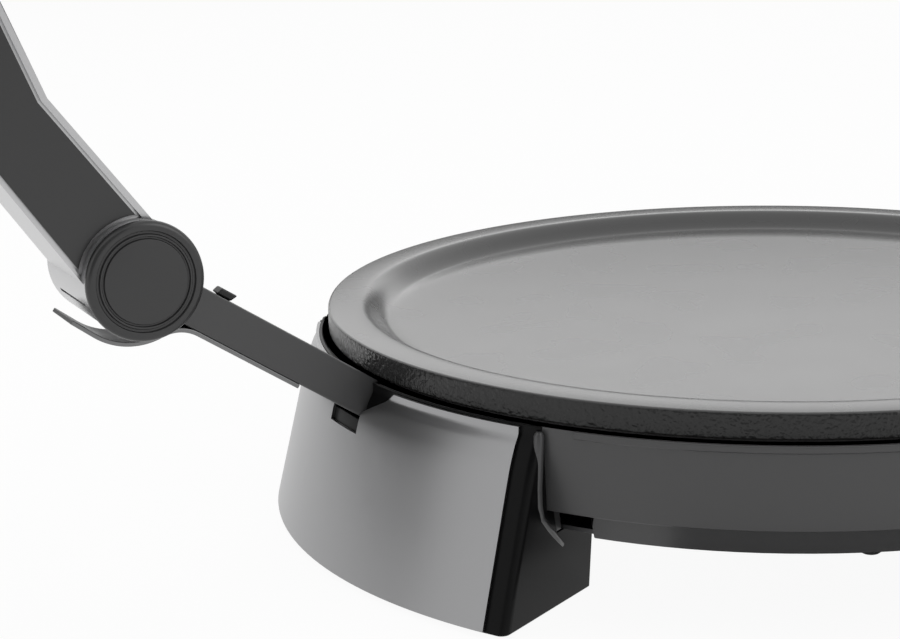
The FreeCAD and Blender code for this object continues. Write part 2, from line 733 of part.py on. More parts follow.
def make_lower_arm():
    bar = arm_box(0.0, LOWER_ARM_LENGTH, -LOWER_ARM_H / 2, LOWER_ARM_H / 2, LOWER_ARM_W / 2)
    eye = rod(EYE_R, V(-LOWER_ARM_W / 2, HINGE_Y, HINGE_Z), V(1, 0, 0), LOWER_ARM_W)
    bore = rod(SHAFT_R + RUN_CLEAR, V(-LOWER_ARM_W, HINGE_Y, HINGE_Z), V(1, 0, 0), 2 * LOWER_ARM_W)
    return join([bar, eye]).cut([bore, lever_slot()])


def make_strap():
    # sheet under the lower arm that swings out round the barrel and ends in a short tail
    half = STRAP_T / 2
    reach = STRAP_ARC_R + STRAP_BEND_R
    drop = -STRAP_MID_V + STRAP_BEND_R
    bend_u = math.sqrt(reach * reach - drop * drop)
    toward = math.atan2(-drop, bend_u)
    back = math.radians(STRAP_TAIL_DEG)

    def around(centre, radius, angle):
        return (centre[0] + radius * math.cos(angle), centre[1] + radius * math.sin(angle))

    def place(u, v):
        y, z = arm_point(u, v)
        return V(-LOWER_ARM_W / 2, y, z)

    tail_y, tail_z = math.cos(back), math.sin(back)
    tail_uv = math.atan2(-tail_y * SIN_A + tail_z * COS_A, -tail_y * COS_A - tail_z * SIN_A)
    if tail_uv > 0:
        tail_uv -= 2 * math.pi
    centre = (bend_u, -drop)
    lines = []
    for side in (1, -1):
        r_bend, r_arc = STRAP_BEND_R + side * half, STRAP_ARC_R - side * half
        a0, a1 = math.pi / 2, toward + math.pi
        start = place(STRAP_END_U, STRAP_MID_V + side * half)
        bend0 = place(*around(centre, r_bend, a0))
        bend_mid = place(*around(centre, r_bend, (a0 + a1) / 2))
        bend1 = place(*around(centre, r_bend, a1))
        arc_mid = place(*around((0, 0), r_arc, (toward + tail_uv) / 2))
        arc_end = place(*around((0, 0), r_arc, tail_uv))
        along = V(0, -math.sin(back), math.cos(back)) * STRAP_TAIL_L
        tip = arc_end + along
        lines.append([Part.LineSegment(start, bend0).toShape(), Part.Arc(bend0, bend_mid, bend1).toShape(),
                      Part.Arc(bend1, arc_mid, arc_end).toShape(), Part.LineSegment(arc_end, tip).toShape(),
                      start, tip])
    edges = lines[0][:4] + [Part.LineSegment(lines[0][5], lines[1][5]).toShape()] + lines[1][:4][::-1]
    edges.append(Part.LineSegment(lines[1][4], lines[0][4]).toShape())
    wire = Part.Wire(Part.__sortEdges__(edges))
    return Part.Face(wire).extrude(V(LOWER_ARM_W, 0, 0))


def make_lever():
    top = LOWER_ARM_H / 2
    u0 = LEVER_U + (LEVER_L - LEVER_STEM_L) / 2
    stem = arm_box(u0, u0 + LEVER_STEM_L, 1.5 + LEVER_CLEAR, top + LEVER_CLEAR, LEVER_STEM_W / 2)
    tab = arm_slab([(LEVER_U, top + LEVER_CLEAR), (LEVER_U + LEVER_L - 1.2, top + LEVER_CLEAR),
                    (LEVER_U + LEVER_L, top + LEVER_H), (LEVER_U + 0.8, top + LEVER_H)],
                   -LEVER_W / 2, LEVER_W / 2)
    return join([stem, tab])


def shaft_half():
    return BARREL_HALF_L - CAP_PLUG_L - 0.2


def make_shaft():
    return rod(SHAFT_R, V(-shaft_half(), HINGE_Y, HINGE_Z), V(1, 0, 0), 2 * shaft_half())


def make_bushes():
    out = []
    gap = 0.1
    for s in (-1, 1):
        x = LOWER_ARM_W / 2 + gap if s > 0 else -LOWER_ARM_W / 2 - gap - (BUSH_T - 2 * gap)
        disc = rod(SHAFT_R + 4.0, V(x, HINGE_Y, HINGE_Z), V(1, 0, 0), BUSH_T - 2 * gap)
        out.append(disc.cut(rod(SHAFT_R + RUN_CLEAR, V(x - 1, HINGE_Y, HINGE_Z), V(1, 0, 0), BUSH_T + 2)))
    return group(out)


# upper arm
def arm_outline(edge, back_edge=None):
    # side view of the arm in its closed place, edge is how far inside the outer outline
    back = edge if back_edge is None else back_edge
    low = math.radians(ARM_LOW_DEG)
    lift = edge / math.cos(low)
    nose = ARM_FRONT - edge
    start = 4.0
    return [
        (start, ARM_UNDER - (ARM_KINK - start) * math.tan(low) + lift), (ARM_KINK, ARM_UNDER + lift),
        (ARM_TURN, ARM_UNDER + edge),
        (nose - 6.0, ARM_UNDER + edge + 1.0), (nose, ARM_UNDER + edge + 4.0),
        (nose - 2.0, ARM_NOSE - back), (nose - 22.0, ARM_NOSE + 4.6 - back),
        (ARM_DEEP2_P, ARM_DEEP2 - back), (ARM_DEEP_P, ARM_DEEP - back), (0.0, ARM_BACK - back),
    ]


def make_arm_housing():
    arm = slab_x([reach_point(p, q) for p, q in arm_outline(0.0)], -ARM_HALF_W, ARM_HALF_W)
    barrel = rod(BARREL_R, V(-BARREL_HALF_L, HINGE_Y, HINGE_Z), V(1, 0, 0), 2 * BARREL_HALF_L)
    body = join([arm, barrel])
    cuts = []
    # channel, open on the under side between the window and the lid's mount
    cuts.append(slab_x([reach_point(p, q) for p, q in (
        (ARM_COVER_START - 20.0, -5.0), (ARM_COVER_START - 20.0, ARM_DEEP - 4.0 - ARM_WALL),
        (ARM_DEEP2_P, ARM_DEEP2 - 0.2 - ARM_WALL), (ARM_COVER_END, ARM_NOSE + 6.2 - ARM_WALL),
        (ARM_COVER_END, -5.0))],
        -ARM_HALF_W + ARM_WALL + PANEL_DEPTH, ARM_HALF_W - ARM_WALL - PANEL_DEPTH))
    # window for the lower arm, from the closed to the open lid
    half_w = LOWER_ARM_W / 2 + BUSH_T
    pie = [reach_point(0, 0)]
    for i in range(9):
        a = math.radians(-8.0 - i * 168.0 / 8)
        pie.append(reach_point(WINDOW_REACH * math.cos(a) / math.cos(math.radians(10.5)),
                               WINDOW_REACH * math.sin(a) / math.cos(math.radians(10.5))))
    cuts.append(slab_x(pie, -half_w, half_w))
    cuts.append(rod(EYE_R + WINDOW_CLEAR, V(-half_w, HINGE_Y, HINGE_Z), V(1, 0, 0), 2 * half_w))
    # shaft, cap plugs, side pockets and screw holes
    cuts.append(rod(SHAFT_R, V(-shaft_half() - 0.5, HINGE_Y, HINGE_Z), V(1, 0, 0), 2 * shaft_half() + 1.0))
    for s in (-1, 1):
        x = -BARREL_HALF_L - 1.0 if s < 0 else BARREL_HALF_L - CAP_PLUG_L - 0.2
        cuts.append(rod(CAP_PLUG_R + 0.2, V(x, HINGE_Y, HINGE_Z), V(1, 0, 0), CAP_PLUG_L + 1.2))
    for s in (-1, 1):
        cuts.append(panel_pocket(s))
    for p in mount_screw_places():
        y, z = reach_point(p, ARM_UNDER - 2.0)
        cuts.append(rod(SCREW_R, V(0, y, z), V(0, 0, 1), 12.0))
    # short parting slit where the arm's back meets the barrel
    y, z = reach_point(-PARTING_W, BARREL_R - PARTING_DEPTH)
    cuts.append(box(-PARTING_L / 2, PARTING_L / 2, y - PARTING_W, y, z, z + 3.0))
    return open_pose(body.cut(cuts))


def panel_pocket(side, inset=0.0, depth=None):
    depth = PANEL_DEPTH if depth is None else depth
    deep_x = ARM_HALF_W - PANEL_DEPTH
    outline = arm_outline(PANEL_EDGE + inset, PANEL_BACK_EDGE + inset)
    x0, x1 = (deep_x, deep_x + depth) if side > 0 else (-deep_x - depth, -deep_x)
    pocket = slab_x([reach_point(p, q) for p, q in outline], x0, x1)
    round_end = rod(PANEL_ARC_R + inset, V(x0 - 1, HINGE_Y, HINGE_Z), V(1, 0, 0), depth + 2)
    y_end = HINGE_Y - PANEL_END + inset
    front_end = box(x0 - 1, x1 + 1, y_end - 80.0, y_end, HINGE_Z - 60, HINGE_Z + 60)
    return pocket.cut([round_end, front_end])


def make_arm_panel(side):
    return open_pose(panel_pocket(side, PANEL_GAP, PANEL_T))


def make_arm_cover():
    z = ARM_UNDER_Z + 1.0
    half = ARM_HALF_W - ARM_WALL - PANEL_DEPTH - 0.3
    y0, y1 = HINGE_Y - ARM_COVER_END + 0.3, HINGE_Y - ARM_COVER_START
    cover = box(-half, half, y0, y1, z, z + ARM_COVER_T)
    return open_pose(cover)


def make_cap(side):
    x = BARREL_HALF_L
    radius = CAP_R if side < 0 else FAR_CAP_R
    disc = rod(radius, V(x, HINGE_Y, HINGE_Z), V(1, 0, 0), CAP_T)
    rim = [e for e in disc.Edges if e.BoundBox.XMin > x + CAP_T - 1e-6]
    disc = disc.makeFillet(CAP_EDGE, rim)
    plug = rod(CAP_PLUG_R, V(x - CAP_PLUG_L, HINGE_Y, HINGE_Z), V(1, 0, 0), CAP_PLUG_L + 0.5)
    cap = join([disc, plug])
    for r in (CAP_GROOVE_R, CAP_GROOVE2_R):
        outer = rod(r + CAP_GROOVE_W / 2, V(x + CAP_T - 0.5, HINGE_Y, HINGE_Z), V(1, 0, 0), 2)
        inner = rod(r - CAP_GROOVE_W / 2, V(x + CAP_T - 0.5, HINGE_Y, HINGE_Z), V(1, 0, 0), 2)
        cap = cap.cut(outer.cut(inner))
    if side < 0:
        cap = cap.mirror(V(0, 0, 0), V(1, 0, 0))
    return cap


# lid
def mount_screw_places():
    return [HINGE_Y - MOUNT_SCREW_SPAN / 2, HINGE_Y + MOUNT_SCREW_SPAN / 2]


def make_lid_trim():
    z0, z1 = LID_BOTTOM_Z, LID_WALL_Z
    return open_pose(ring([(LID_R - LID_TRIM_W, z0), (LID_R, z0), (LID_R, z1), (LID_R - LID_TRIM_W, z1)]))


def lid_curve(inset):
    pts = []
    centre_r, centre_z = LID_R - LID_ROUND, LID_SHOULDER_Z - LID_ROUND
    for i in range(5):
        a = math.radians(90.0 * i / 4)
        pts.append((centre_r + (LID_ROUND - inset) * math.cos(a),
                    centre_z + (LID_ROUND - inset) * math.sin(a)))
    return pts


def make_lid_shell():
    flat = MOUNT_R + 2.0
    outer = [(LID_R, LID_WALL_Z)] + lid_curve(0.0) + [(flat, LID_TOP_Z), (0, LID_TOP_Z)]
    under = LID_TOP_Z - LID_T
    inner = [(0, under), (flat, under)] + lid_curve(LID_T)[::-1] + [(LID_R - LID_T, LID_WALL_Z)]
    shell = ring(outer + inner)
    cuts = []
    for p in mount_screw_places():
        cuts.append(rod(SCREW_R + SCREW_CLEAR, V(0, HINGE_Y - p, LID_TOP_Z - 5), V(0, 0, 1), 8))
    for x in (-HANDLE_SPAN / 2, HANDLE_SPAN / 2):
        cuts.append(rod(SCREW_R + SCREW_CLEAR, V(x, -LID_R - 5, HANDLE_Z), V(0, 1, 0), 30))
    return open_pose(shell.cut(cuts))


def make_lid_liner():
    r = LID_R - LID_T - LINER_CLEAR
    z = LID_WALL_Z
    return open_pose(ring([(0, z), (r, z), (r, z + LINER_T), (0, z + LINER_T)]))


def make_lid_mount():
    z0 = LID_TOP_Z
    flange = rod(MOUNT_R, V(0, 0, z0), V(0, 0, 1), MOUNT_FLANGE_T)
    half_w, half_l = MOUNT_BLOCK_W / 2, MOUNT_BLOCK_L / 2
    block = box(-half_w, half_w, -half_l, half_l, z0, ARM_UNDER_Z + 6.0)
    under = slab_x([reach_point(p, q) for p, q in arm_outline(0.0)], -ARM_HALF_W - 1, ARM_HALF_W + 1)
    holes = [rod(SCREW_R + SCREW_CLEAR, V(0, HINGE_Y - p, z0 - 1), V(0, 0, 1), 30)
             for p in mount_screw_places()]
    return open_pose(join([flange, block]).cut([under] + holes))


def make_mount_screws():
    out = []
    for p in mount_screw_places():
        z = LID_TOP_Z - LID_T
        head = rod(SCREW_HEAD_R, V(0, HINGE_Y - p, z - SCREW_HEAD_T), V(0, 0, 1), SCREW_HEAD_T)
        top = ARM_UNDER_Z + 9.0
        out.append(join([head, rod(SCREW_R, V(0, HINGE_Y - p, z - 0.5), V(0, 0, 1), top - z)]))
    return open_pose(group(out))


def make_handle_posts():
    out = []
    body = rod(LID_R, V(0, 0, LID_BOTTOM_Z), V(0, 0, 1), LID_TOP_Z - LID_BOTTOM_Z)
    span_y = math.sqrt(LID_R ** 2 - (HANDLE_SPAN / 2) ** 2)
    length = LID_R + HANDLE_REACH - span_y + POST_R
    for x in (-HANDLE_SPAN / 2, HANDLE_SPAN / 2):
        post = rod(POST_R, V(x, -LID_R - HANDLE_REACH + HANDLE_GRIP_R * 0.5, HANDLE_Z), V(0, 1, 0), length)
        hole = rod(SCREW_R, V(x, -LID_R - 5, HANDLE_Z), V(0, 1, 0), length)
        out.append(post.cut([body, hole]))
    return open_pose(group(out))


def make_handle_grip():
    y = -LID_R - HANDLE_REACH
    bar = rod(HANDLE_GRIP_R, V(-HANDLE_GRIP_L / 2, y, HANDLE_Z), V(1, 0, 0), HANDLE_GRIP_L)
    bar = bar.makeFillet(HANDLE_GRIP_R * 0.45, bar.Edges[0:1] + bar.Edges[2:3])
    cuts = [rod(POST_R, V(x, y + HANDLE_GRIP_R * 0.5, HANDLE_Z), V(0, 1, 0), 20)
            for x in (-HANDLE_SPAN / 2, HANDLE_SPAN / 2)]
    return open_pose(bar.cut(cuts))


def make_handle_screws():
    out = []
    for x in (-HANDLE_SPAN / 2, HANDLE_SPAN / 2):
        y_wall = -math.sqrt((LID_R - LID_T) ** 2 - (abs(x) - SCREW_HEAD_R) ** 2)
        head = rod(SCREW_HEAD_R, V(x, y_wall + 3.0, HANDLE_Z), V(0, 1, 0), SCREW_HEAD_T)
        shank = rod(SCREW_R, V(x, -LID_R - 5, HANDLE_Z), V(0, 1, 0), y_wall + 3.5 + LID_R + 5)
        out.append(join([head, shank]))
    return open_pose(group(out))


# screws under the base
def make_base_screws(where, seat_z):
    out = []
    tip = PAN_TOP_Z + BOSS_H - 4.0
    for x, y in boss_places(where):
        head = rod(SCREW_HEAD_R, V(x, y, seat_z - SCREW_HEAD_T), V(0, 0, 1), SCREW_HEAD_T)
        out.append(join([head, rod(SCREW_R, V(x, y, seat_z - 0.5), V(0, 0, 1), tip - seat_z)]))
    return group(out)


# controls
def make_control_panel():
    slab = box(-CONTROL_W / 2, CONTROL_W / 2, -CONTROL_H / 2, CONTROL_H / 2, -20.0, CONTROL_PROUD)
    corners = [e for e in slab.Edges if e.BoundBox.ZLength > 10]
    slab = slab.makeFillet(6.0, corners)
    rim = [e for e in slab.Edges if e.BoundBox.ZMin > CONTROL_PROUD - 1e-6]
    slab = slab.makeFillet(0.6, rim)
    placed = control_frame(slab)
    return placed.cut([leg_form(0.0)] + panel_cuts())


def make_knob():
    z = CONTROL_PROUD + KNOB_GAP
    body = Part.makeCone(KNOB_R, KNOB_R * 0.88, KNOB_H, V(0, 0, z))
    rim = [e for e in body.Edges if e.BoundBox.ZMin > z + KNOB_H - 1e-6]
    body = body.makeFillet(1.2, rim)
    ridge = box(-1.2, 1.2, KNOB_R * 0.3, KNOB_R * 0.84, z + KNOB_H - 2.0, z + KNOB_H + 1.2)
    body = join([body, ridge])
    hole = rod(KNOB_SHAFT_R, V(0, 0, z - 1), V(0, 0, 1), KNOB_SOCKET_L + 1)
    return control_frame(body.cut(hole))


def thermo_depth():
    # how far behind the panel's middle the thermostat's face lies, inside the drum's wall
    return (cone_r(PANEL_Z) - (DRUM_BOTTOM_R - SHELL_T) + 3.0) / math.cos(math.radians(LEG_SLOPE_DEG))


def make_knob_shaft():
    end = CONTROL_PROUD + KNOB_GAP + KNOB_SOCKET_L
    start = -thermo_depth() - 6.0
    return control_frame(rod(KNOB_SHAFT_R, V(0, 0, start), V(0, 0, 1), end - start))


def make_thermostat():
    d = thermo_depth()
    body = box(-THERMO_W / 2, THERMO_W / 2, -THERMO_H / 2, THERMO_H / 2, -d - THERMO_L, -d)
    nose = rod(KNOB_SHAFT_R + 2.5, V(0, 0, -d - 1.0), V(0, 0, 1), 3.0)
    bore = rod(KNOB_SHAFT_R + RUN_CLEAR, V(0, 0, -d - 7.0), V(0, 0, 1), 20.0)
    foot = box(-THERMO_W / 2, THERMO_W / 2, -THERMO_H / 2 - 12.0, -THERMO_H / 2 + 0.5,
               -d - THERMO_L, -d - THERMO_L + 3.0)
    placed = control_frame(join([body, nose, foot]).cut(bore))
    below = box(-200, 200, -200, 0, -60, PAN_TOP_Z)
    return placed.cut(below)


def make_rocker_frame():
    w, h = ROCKER_W / 2 + ROCKER_FRAME, ROCKER_H / 2 + ROCKER_FRAME
    outer = box(ROCKER_X - w, ROCKER_X + w, -h, h, -ROCKER_DEEP, CONTROL_PROUD)
    flange = box(ROCKER_X - w - 1.5, ROCKER_X + w + 1.5, -h - 1.5, h + 1.5,
                 CONTROL_PROUD, CONTROL_PROUD + 1.0)
    inner = box(ROCKER_X - ROCKER_W / 2 - ROCKER_CLEAR, ROCKER_X + ROCKER_W / 2 + ROCKER_CLEAR,
                -ROCKER_H / 2 - ROCKER_CLEAR, ROCKER_H / 2 + ROCKER_CLEAR, -ROCKER_DEEP + 2.0, 30.0)
    frame = join([outer, flange]).cut(inner)
    pin = rod(1.0, V(ROCKER_X - ROCKER_W / 2 - 1.0, 0, -2.0), V(1, 0, 0), ROCKER_W + 2.0)
    return control_frame(join([frame, pin]))


def make_rocker():
    h = ROCKER_H / 2
    top = CONTROL_PROUD + ROCKER_PROUD
    outline = [V(0, -h + 0.2, top - 0.4), V(0, 0, top - 1.1), V(0, h - 0.2, top + 1.6), V(0, h - 1.6, -2.5),
               V(0, 2.0, -5.0), V(0, -2.0, -5.0), V(0, -h + 1.6, -2.5)]
    body = face(outline).extrude(V(ROCKER_W, 0, 0))
    body.translate(V(ROCKER_X - ROCKER_W / 2, 0, 0))
    bore = rod(1.05, V(ROCKER_X - ROCKER_W, 0, -2.0), V(1, 0, 0), 2 * ROCKER_W)
    return control_frame(body.cut(bore))


def make_lamp(x):
    lens = rod(LAMP_R, V(x, 0, -LAMP_L), V(0, 0, 1), LAMP_L + CONTROL_PROUD + LAMP_PROUD)
    return control_frame(lens)


# mains inlet and wiring pieces
def make_inlet():
    x1 = SHELL_STEP_R + 1.2
    x0 = x1 - INLET_L
    body = box(x0, x1, -INLET_W / 2, INLET_W / 2, INLET_Z - INLET_H / 2, INLET_Z + INLET_H / 2)
    flange = box(x1, x1 + INLET_FLANGE, -INLET_W / 2 - 3, INLET_W / 2 + 3, INLET_Z - INLET_H / 2 - 3,
                 INLET_Z + INLET_H / 2 + 3)
    hollow = box(x0 + 3.0, x1 + 5.0, -INLET_W / 2 + INLET_WALL, INLET_W / 2 - INLET_WALL,
                 INLET_Z - INLET_H / 2 + INLET_WALL, INLET_Z + INLET_H / 2 - INLET_WALL)
    wall = ring(shell_profile())
    return join([body, flange]).cut(hollow).cut(wall_keep(wall))


def wall_keep(wall):
    # the drum's wall outside the inlet's hole
    return wall.cut(box(0, 2 * PLATE_R, -INLET_W / 2 - 0.3, INLET_W / 2 + 0.3, INLET_Z - INLET_H / 2 - 0.3,
                        INLET_Z + INLET_H / 2 + 0.3))


def make_inlet_pins():
    x0 = SHELL_STEP_R + 1.2 - INLET_L + 1.0
    out = []
    for y in (-INLET_PIN_PITCH, 0.0, INLET_PIN_PITCH):
        out.append(box(x0 + 2.0, x0 + INLET_PIN_L, y - INLET_PIN_W / 2, y + INLET_PIN_W / 2,
                       INLET_Z - INLET_PIN_T / 2, INLET_Z + INLET_PIN_T / 2))
    return group(out)


def make_terminal_block():
    x1 = SHELL_STEP_R + 1.2 - INLET_L - 12.0
    body = box(x1 - BLOCK_W, x1, -BLOCK_L / 2, BLOCK_L / 2, PAN_TOP_Z, PAN_TOP_Z + BLOCK_H)
    holes = [rod(1.8, V(x1 - BLOCK_W / 2, y, PAN_TOP_Z + 4.0), V(0, 0, 1), 20) for y in (-10, 0, 10)]
    return body.cut(holes)


def make_fuse():
    z = PAN_TOP_Z + FUSE_R
    body = rod(FUSE_R, V(-60.0 - FUSE_L / 2, -60.0, z), V(1, 0, 0), FUSE_L)
    base = box(-60.0 - FUSE_L / 2 + 2, -60.0 + FUSE_L / 2 - 2, -63.5, -56.5, PAN_TOP_Z, PAN_TOP_Z + 1.5)
    return join([body, base])


def build():
    parts = {
        "base_shell": make_base_shell(), "base_pan": make_base_pan(),
        "rear_leg": make_rear_leg(), "rear_skin": make_rear_skin(),
        "front_leg": make_front_leg(), "front_skin": make_front_skin(),
        "rear_leg_cover": make_leg_cover(), "front_leg_cover": turned(make_leg_cover(), 180.0),
        "rear_feet": make_feet(0.0), "front_feet": make_feet(180.0),
        "plate": make_plate(), "plate_studs": make_studs(), "stud_spacers": make_spacers(),
        "stud_nuts": make_nuts(), "reflector": make_reflector(), "heating_element": make_element(),
        "element_clips": make_clips(), "arm_socket": make_arm_socket(),
        "pan_screws": make_base_screws("pan", DRUM_BOTTOM_Z),
        "leg_screws": make_base_screws("leg", DRUM_BOTTOM_Z - LEG_WALL),
        "control_panel": make_control_panel(), "thermostat": make_thermostat(),
        "thermostat_knob": make_knob(), "knob_shaft": make_knob_shaft(),
        "rocker_frame": make_rocker_frame(), "power_rocker": make_rocker(),
        "power_lamp": make_lamp(-LAMP_X - LAMP_PITCH / 2),
        "ready_lamp": make_lamp(-LAMP_X + LAMP_PITCH / 2),
        "mains_inlet": make_inlet(), "inlet_pins": make_inlet_pins(),
        "terminal_block": make_terminal_block(), "thermal_fuse": make_fuse(),
        "lower_arm": make_lower_arm(), "arm_strap": make_strap(), "release_lever": make_lever(),
        "hinge_shaft": make_shaft(), "hinge_washers": make_bushes(),
        "arm_housing": make_arm_housing(), "arm_panel_left": make_arm_panel(-1),
        "arm_panel_right": make_arm_panel(1), "arm_cover": make_arm_cover(),
        "hinge_cap_left": make_cap(-1), "hinge_cap_right": make_cap(1),
        "lid_shell": make_lid_shell(), "lid_liner": make_lid_liner(), "lid_trim": make_lid_trim(),
        "lid_mount": make_lid_mount(), "mount_screws": make_mount_screws(),
        "handle_posts": make_handle_posts(), "handle_grip": make_handle_grip(),
        "handle_screws": make_handle_screws(),
    }
    return parts


def main():
    os.makedirs("parts", exist_ok=True)
    parts = build()
    whole = FreeCAD.BoundBox()
    for shape in parts.values():
        whole.add(shape.BoundBox)
    low = min(shape.optimalBoundingBox(False).YMin for shape in parts.values())
    high = max(shape.optimalBoundingBox(False).YMax for shape in parts.values())
    shift = -(low + high) / 2
    print("shift", round(shift, 4), "box", whole)
    for name, shape in parts.items():
        moved = shape.copy()
        moved.translate(V(0, shift, 0))
        print(name, len(moved.Solids), round(moved.Volume, 1), moved.isValid())
        moved.exportStep("parts/" + name + ".step")


main()
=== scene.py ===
import json
import math

import bmesh
import bpy
from mathutils import Matrix, Vector

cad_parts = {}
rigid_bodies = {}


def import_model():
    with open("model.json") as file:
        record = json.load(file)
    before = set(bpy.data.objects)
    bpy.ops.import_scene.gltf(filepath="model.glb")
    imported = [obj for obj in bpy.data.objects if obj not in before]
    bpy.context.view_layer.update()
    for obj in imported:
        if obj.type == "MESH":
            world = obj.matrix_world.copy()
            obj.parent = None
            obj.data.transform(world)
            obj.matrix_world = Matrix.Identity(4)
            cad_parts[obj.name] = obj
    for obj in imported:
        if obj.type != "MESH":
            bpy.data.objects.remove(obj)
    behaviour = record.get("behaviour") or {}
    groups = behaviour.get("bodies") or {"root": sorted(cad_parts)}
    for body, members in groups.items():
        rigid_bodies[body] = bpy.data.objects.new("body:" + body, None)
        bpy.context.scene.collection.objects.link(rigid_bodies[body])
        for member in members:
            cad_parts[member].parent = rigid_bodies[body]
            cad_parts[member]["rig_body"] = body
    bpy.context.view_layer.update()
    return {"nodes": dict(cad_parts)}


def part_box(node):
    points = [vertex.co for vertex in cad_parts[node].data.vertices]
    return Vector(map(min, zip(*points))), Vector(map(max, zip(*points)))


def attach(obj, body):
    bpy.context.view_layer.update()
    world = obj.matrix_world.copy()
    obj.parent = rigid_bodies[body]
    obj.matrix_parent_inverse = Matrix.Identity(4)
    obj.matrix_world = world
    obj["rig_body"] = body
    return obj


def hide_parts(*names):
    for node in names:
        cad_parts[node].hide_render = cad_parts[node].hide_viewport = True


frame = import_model()
scene = bpy.context.scene


# Camera.
# It stands behind the hinge's left side, a little above the plate, and looks down on the plate's
# rear edge; the lens gives the photograph's narrow field.
plate_low, plate_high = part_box("plate")
plate_axis_y = (plate_low.y + plate_high.y) / 2
CAMERA_PLACE = Vector((-0.5782, plate_axis_y + 0.4034, 0.2323))
CAMERA_FORWARD = Vector((0.87298, -0.42521, -0.23908)).normalized()
CAMERA_ROLL_DEG = -1.54
CAMERA_LENS_MM = 83.66
CAMERA_SENSOR_MM = 36.0
camera_data = bpy.data.cameras.new("camera")
camera_data.lens = CAMERA_LENS_MM
camera_data.sensor_width = CAMERA_SENSOR_MM
camera_data.clip_start = 0.01
camera_data.clip_end = 20.0
camera = bpy.data.objects.new("camera", camera_data)
scene.collection.objects.link(camera)
turn = CAMERA_FORWARD.to_track_quat("-Z", "Y").to_matrix().to_4x4()
roll = Matrix.Rotation(math.radians(CAMERA_ROLL_DEG), 4, "Z")
camera.matrix_world = Matrix.Translation(CAMERA_PLACE) @ turn @ roll
scene.camera = camera


# Studio.
# A pale floor, a white surround that polished faces show, four soft lamps, and dark cards that
# show only in gloss and give the reflections their depth; the card lying on the floor under the drum is
# painted shadow, seen only in the reflections.
SKY_FILL = 0.45
FLOOR_GLOW = 0.94
scene.view_settings.view_transform = "Standard"
world = bpy.data.worlds.new("studio")
scene.world = world
world.use_nodes = True
sky = world.node_tree
sky.nodes.clear()
sky_out = sky.nodes.new("ShaderNodeOutputWorld")
sky_seen = sky.nodes.new("ShaderNodeBackground")
sky_seen.inputs["Color"].default_value = (1, 1, 1, 1)
sky_lit = sky.nodes.new("ShaderNodeBackground")
sky_lit.inputs["Color"].default_value = (1, 1, 1, 1)
sky_lit.inputs["Strength"].default_value = SKY_FILL
sky_mix = sky.nodes.new("ShaderNodeMixShader")


def seen_rays(tree):
    # 1 for the rays that show the surround: from the camera, off gloss and through glass
    path = tree.nodes.new("ShaderNodeLightPath")
    first = tree.nodes.new("ShaderNodeMath")
    first.operation = "MAXIMUM"
    second = tree.nodes.new("ShaderNodeMath")
    second.operation = "MAXIMUM"
    tree.links.new(path.outputs["Is Camera Ray"], first.inputs[0])
    tree.links.new(path.outputs["Is Glossy Ray"], first.inputs[1])
    tree.links.new(first.outputs[0], second.inputs[0])
    tree.links.new(path.outputs["Is Transmission Ray"], second.inputs[1])
    return second.outputs[0]


sky.links.new(seen_rays(sky), sky_mix.inputs["Fac"])
sky.links.new(sky_lit.outputs[0], sky_mix.inputs[1])
sky.links.new(sky_seen.outputs[0], sky_mix.inputs[2])
sky.links.new(sky_mix.outputs[0], sky_out.inputs["Surface"])

floor_mesh = bpy.data.meshes.new("floor")
FLOOR_HALF = 6.0
floor_mesh.from_pydata([(-FLOOR_HALF, -FLOOR_HALF, 0), (FLOOR_HALF, -FLOOR_HALF, 0),
                        (FLOOR_HALF, FLOOR_HALF, 0), (-FLOOR_HALF, FLOOR_HALF, 0)], [], [(0, 1, 2, 3)])
floor = bpy.data.objects.new("floor", floor_mesh)
scene.collection.objects.link(floor)
floor_finish = bpy.data.materials.new("pale_floor")
floor_finish.use_nodes = True
tree = floor_finish.node_tree
tree.nodes.clear()
out = tree.nodes.new("ShaderNodeOutputMaterial")
matt = tree.nodes.new("ShaderNodeBsdfDiffuse")
matt.inputs["Color"].default_value = (0.9, 0.9, 0.9, 1)
glow = tree.nodes.new("ShaderNodeEmission")
glow.inputs["Strength"].default_value = 1.0
share = tree.nodes.new("ShaderNodeMath")
share.operation = "MULTIPLY"
share.inputs[1].default_value = FLOOR_GLOW
blend = tree.nodes.new("ShaderNodeMixShader")
tree.links.new(seen_rays(tree), share.inputs[0])
tree.links.new(share.outputs[0], blend.inputs["Fac"])
tree.links.new(matt.outputs[0], blend.inputs[1])
tree.links.new(glow.outputs[0], blend.inputs[2])
tree.links.new(blend.outputs[0], out.inputs["Surface"])
floor_mesh.materials.append(floor_finish)


def soft_lamp(name, place, target, width, height, watts):
    data = bpy.data.lights.new(name, "AREA")
    data.shape = "RECTANGLE"
    data.size = width
    data.size_y = height
    data.energy = watts
    lamp = bpy.data.objects.new(name, data)
    scene.collection.objects.link(lamp)
    look = (Vector(target) - Vector(place)).to_track_quat("-Z", "Y")
    lamp.matrix_world = Matrix.Translation(Vector(place)) @ look.to_matrix().to_4x4()
    return lamp


overhead = soft_lamp("overhead_lamp", (0.2, -0.2, 1.6), (0, 0, 0.05), 1.6, 1.6, 10.0)
overhead.visible_glossy = False
soft_lamp("side_lamp", (-1.3, -0.9, 0.9), (0, 0, 0.1), 0.9, 1.2, 5.0)
rear = soft_lamp("rear_lamp", (0.9, 1.4, 0.9), (0, 0.1, 0.1), 0.9, 1.2, 6.0)
rear.visible_glossy = False
soft_lamp("far_lamp", (1.66, -0.98, 0.68), (0, -0.09, 0.05), 1.8, 0.4, 1.4)


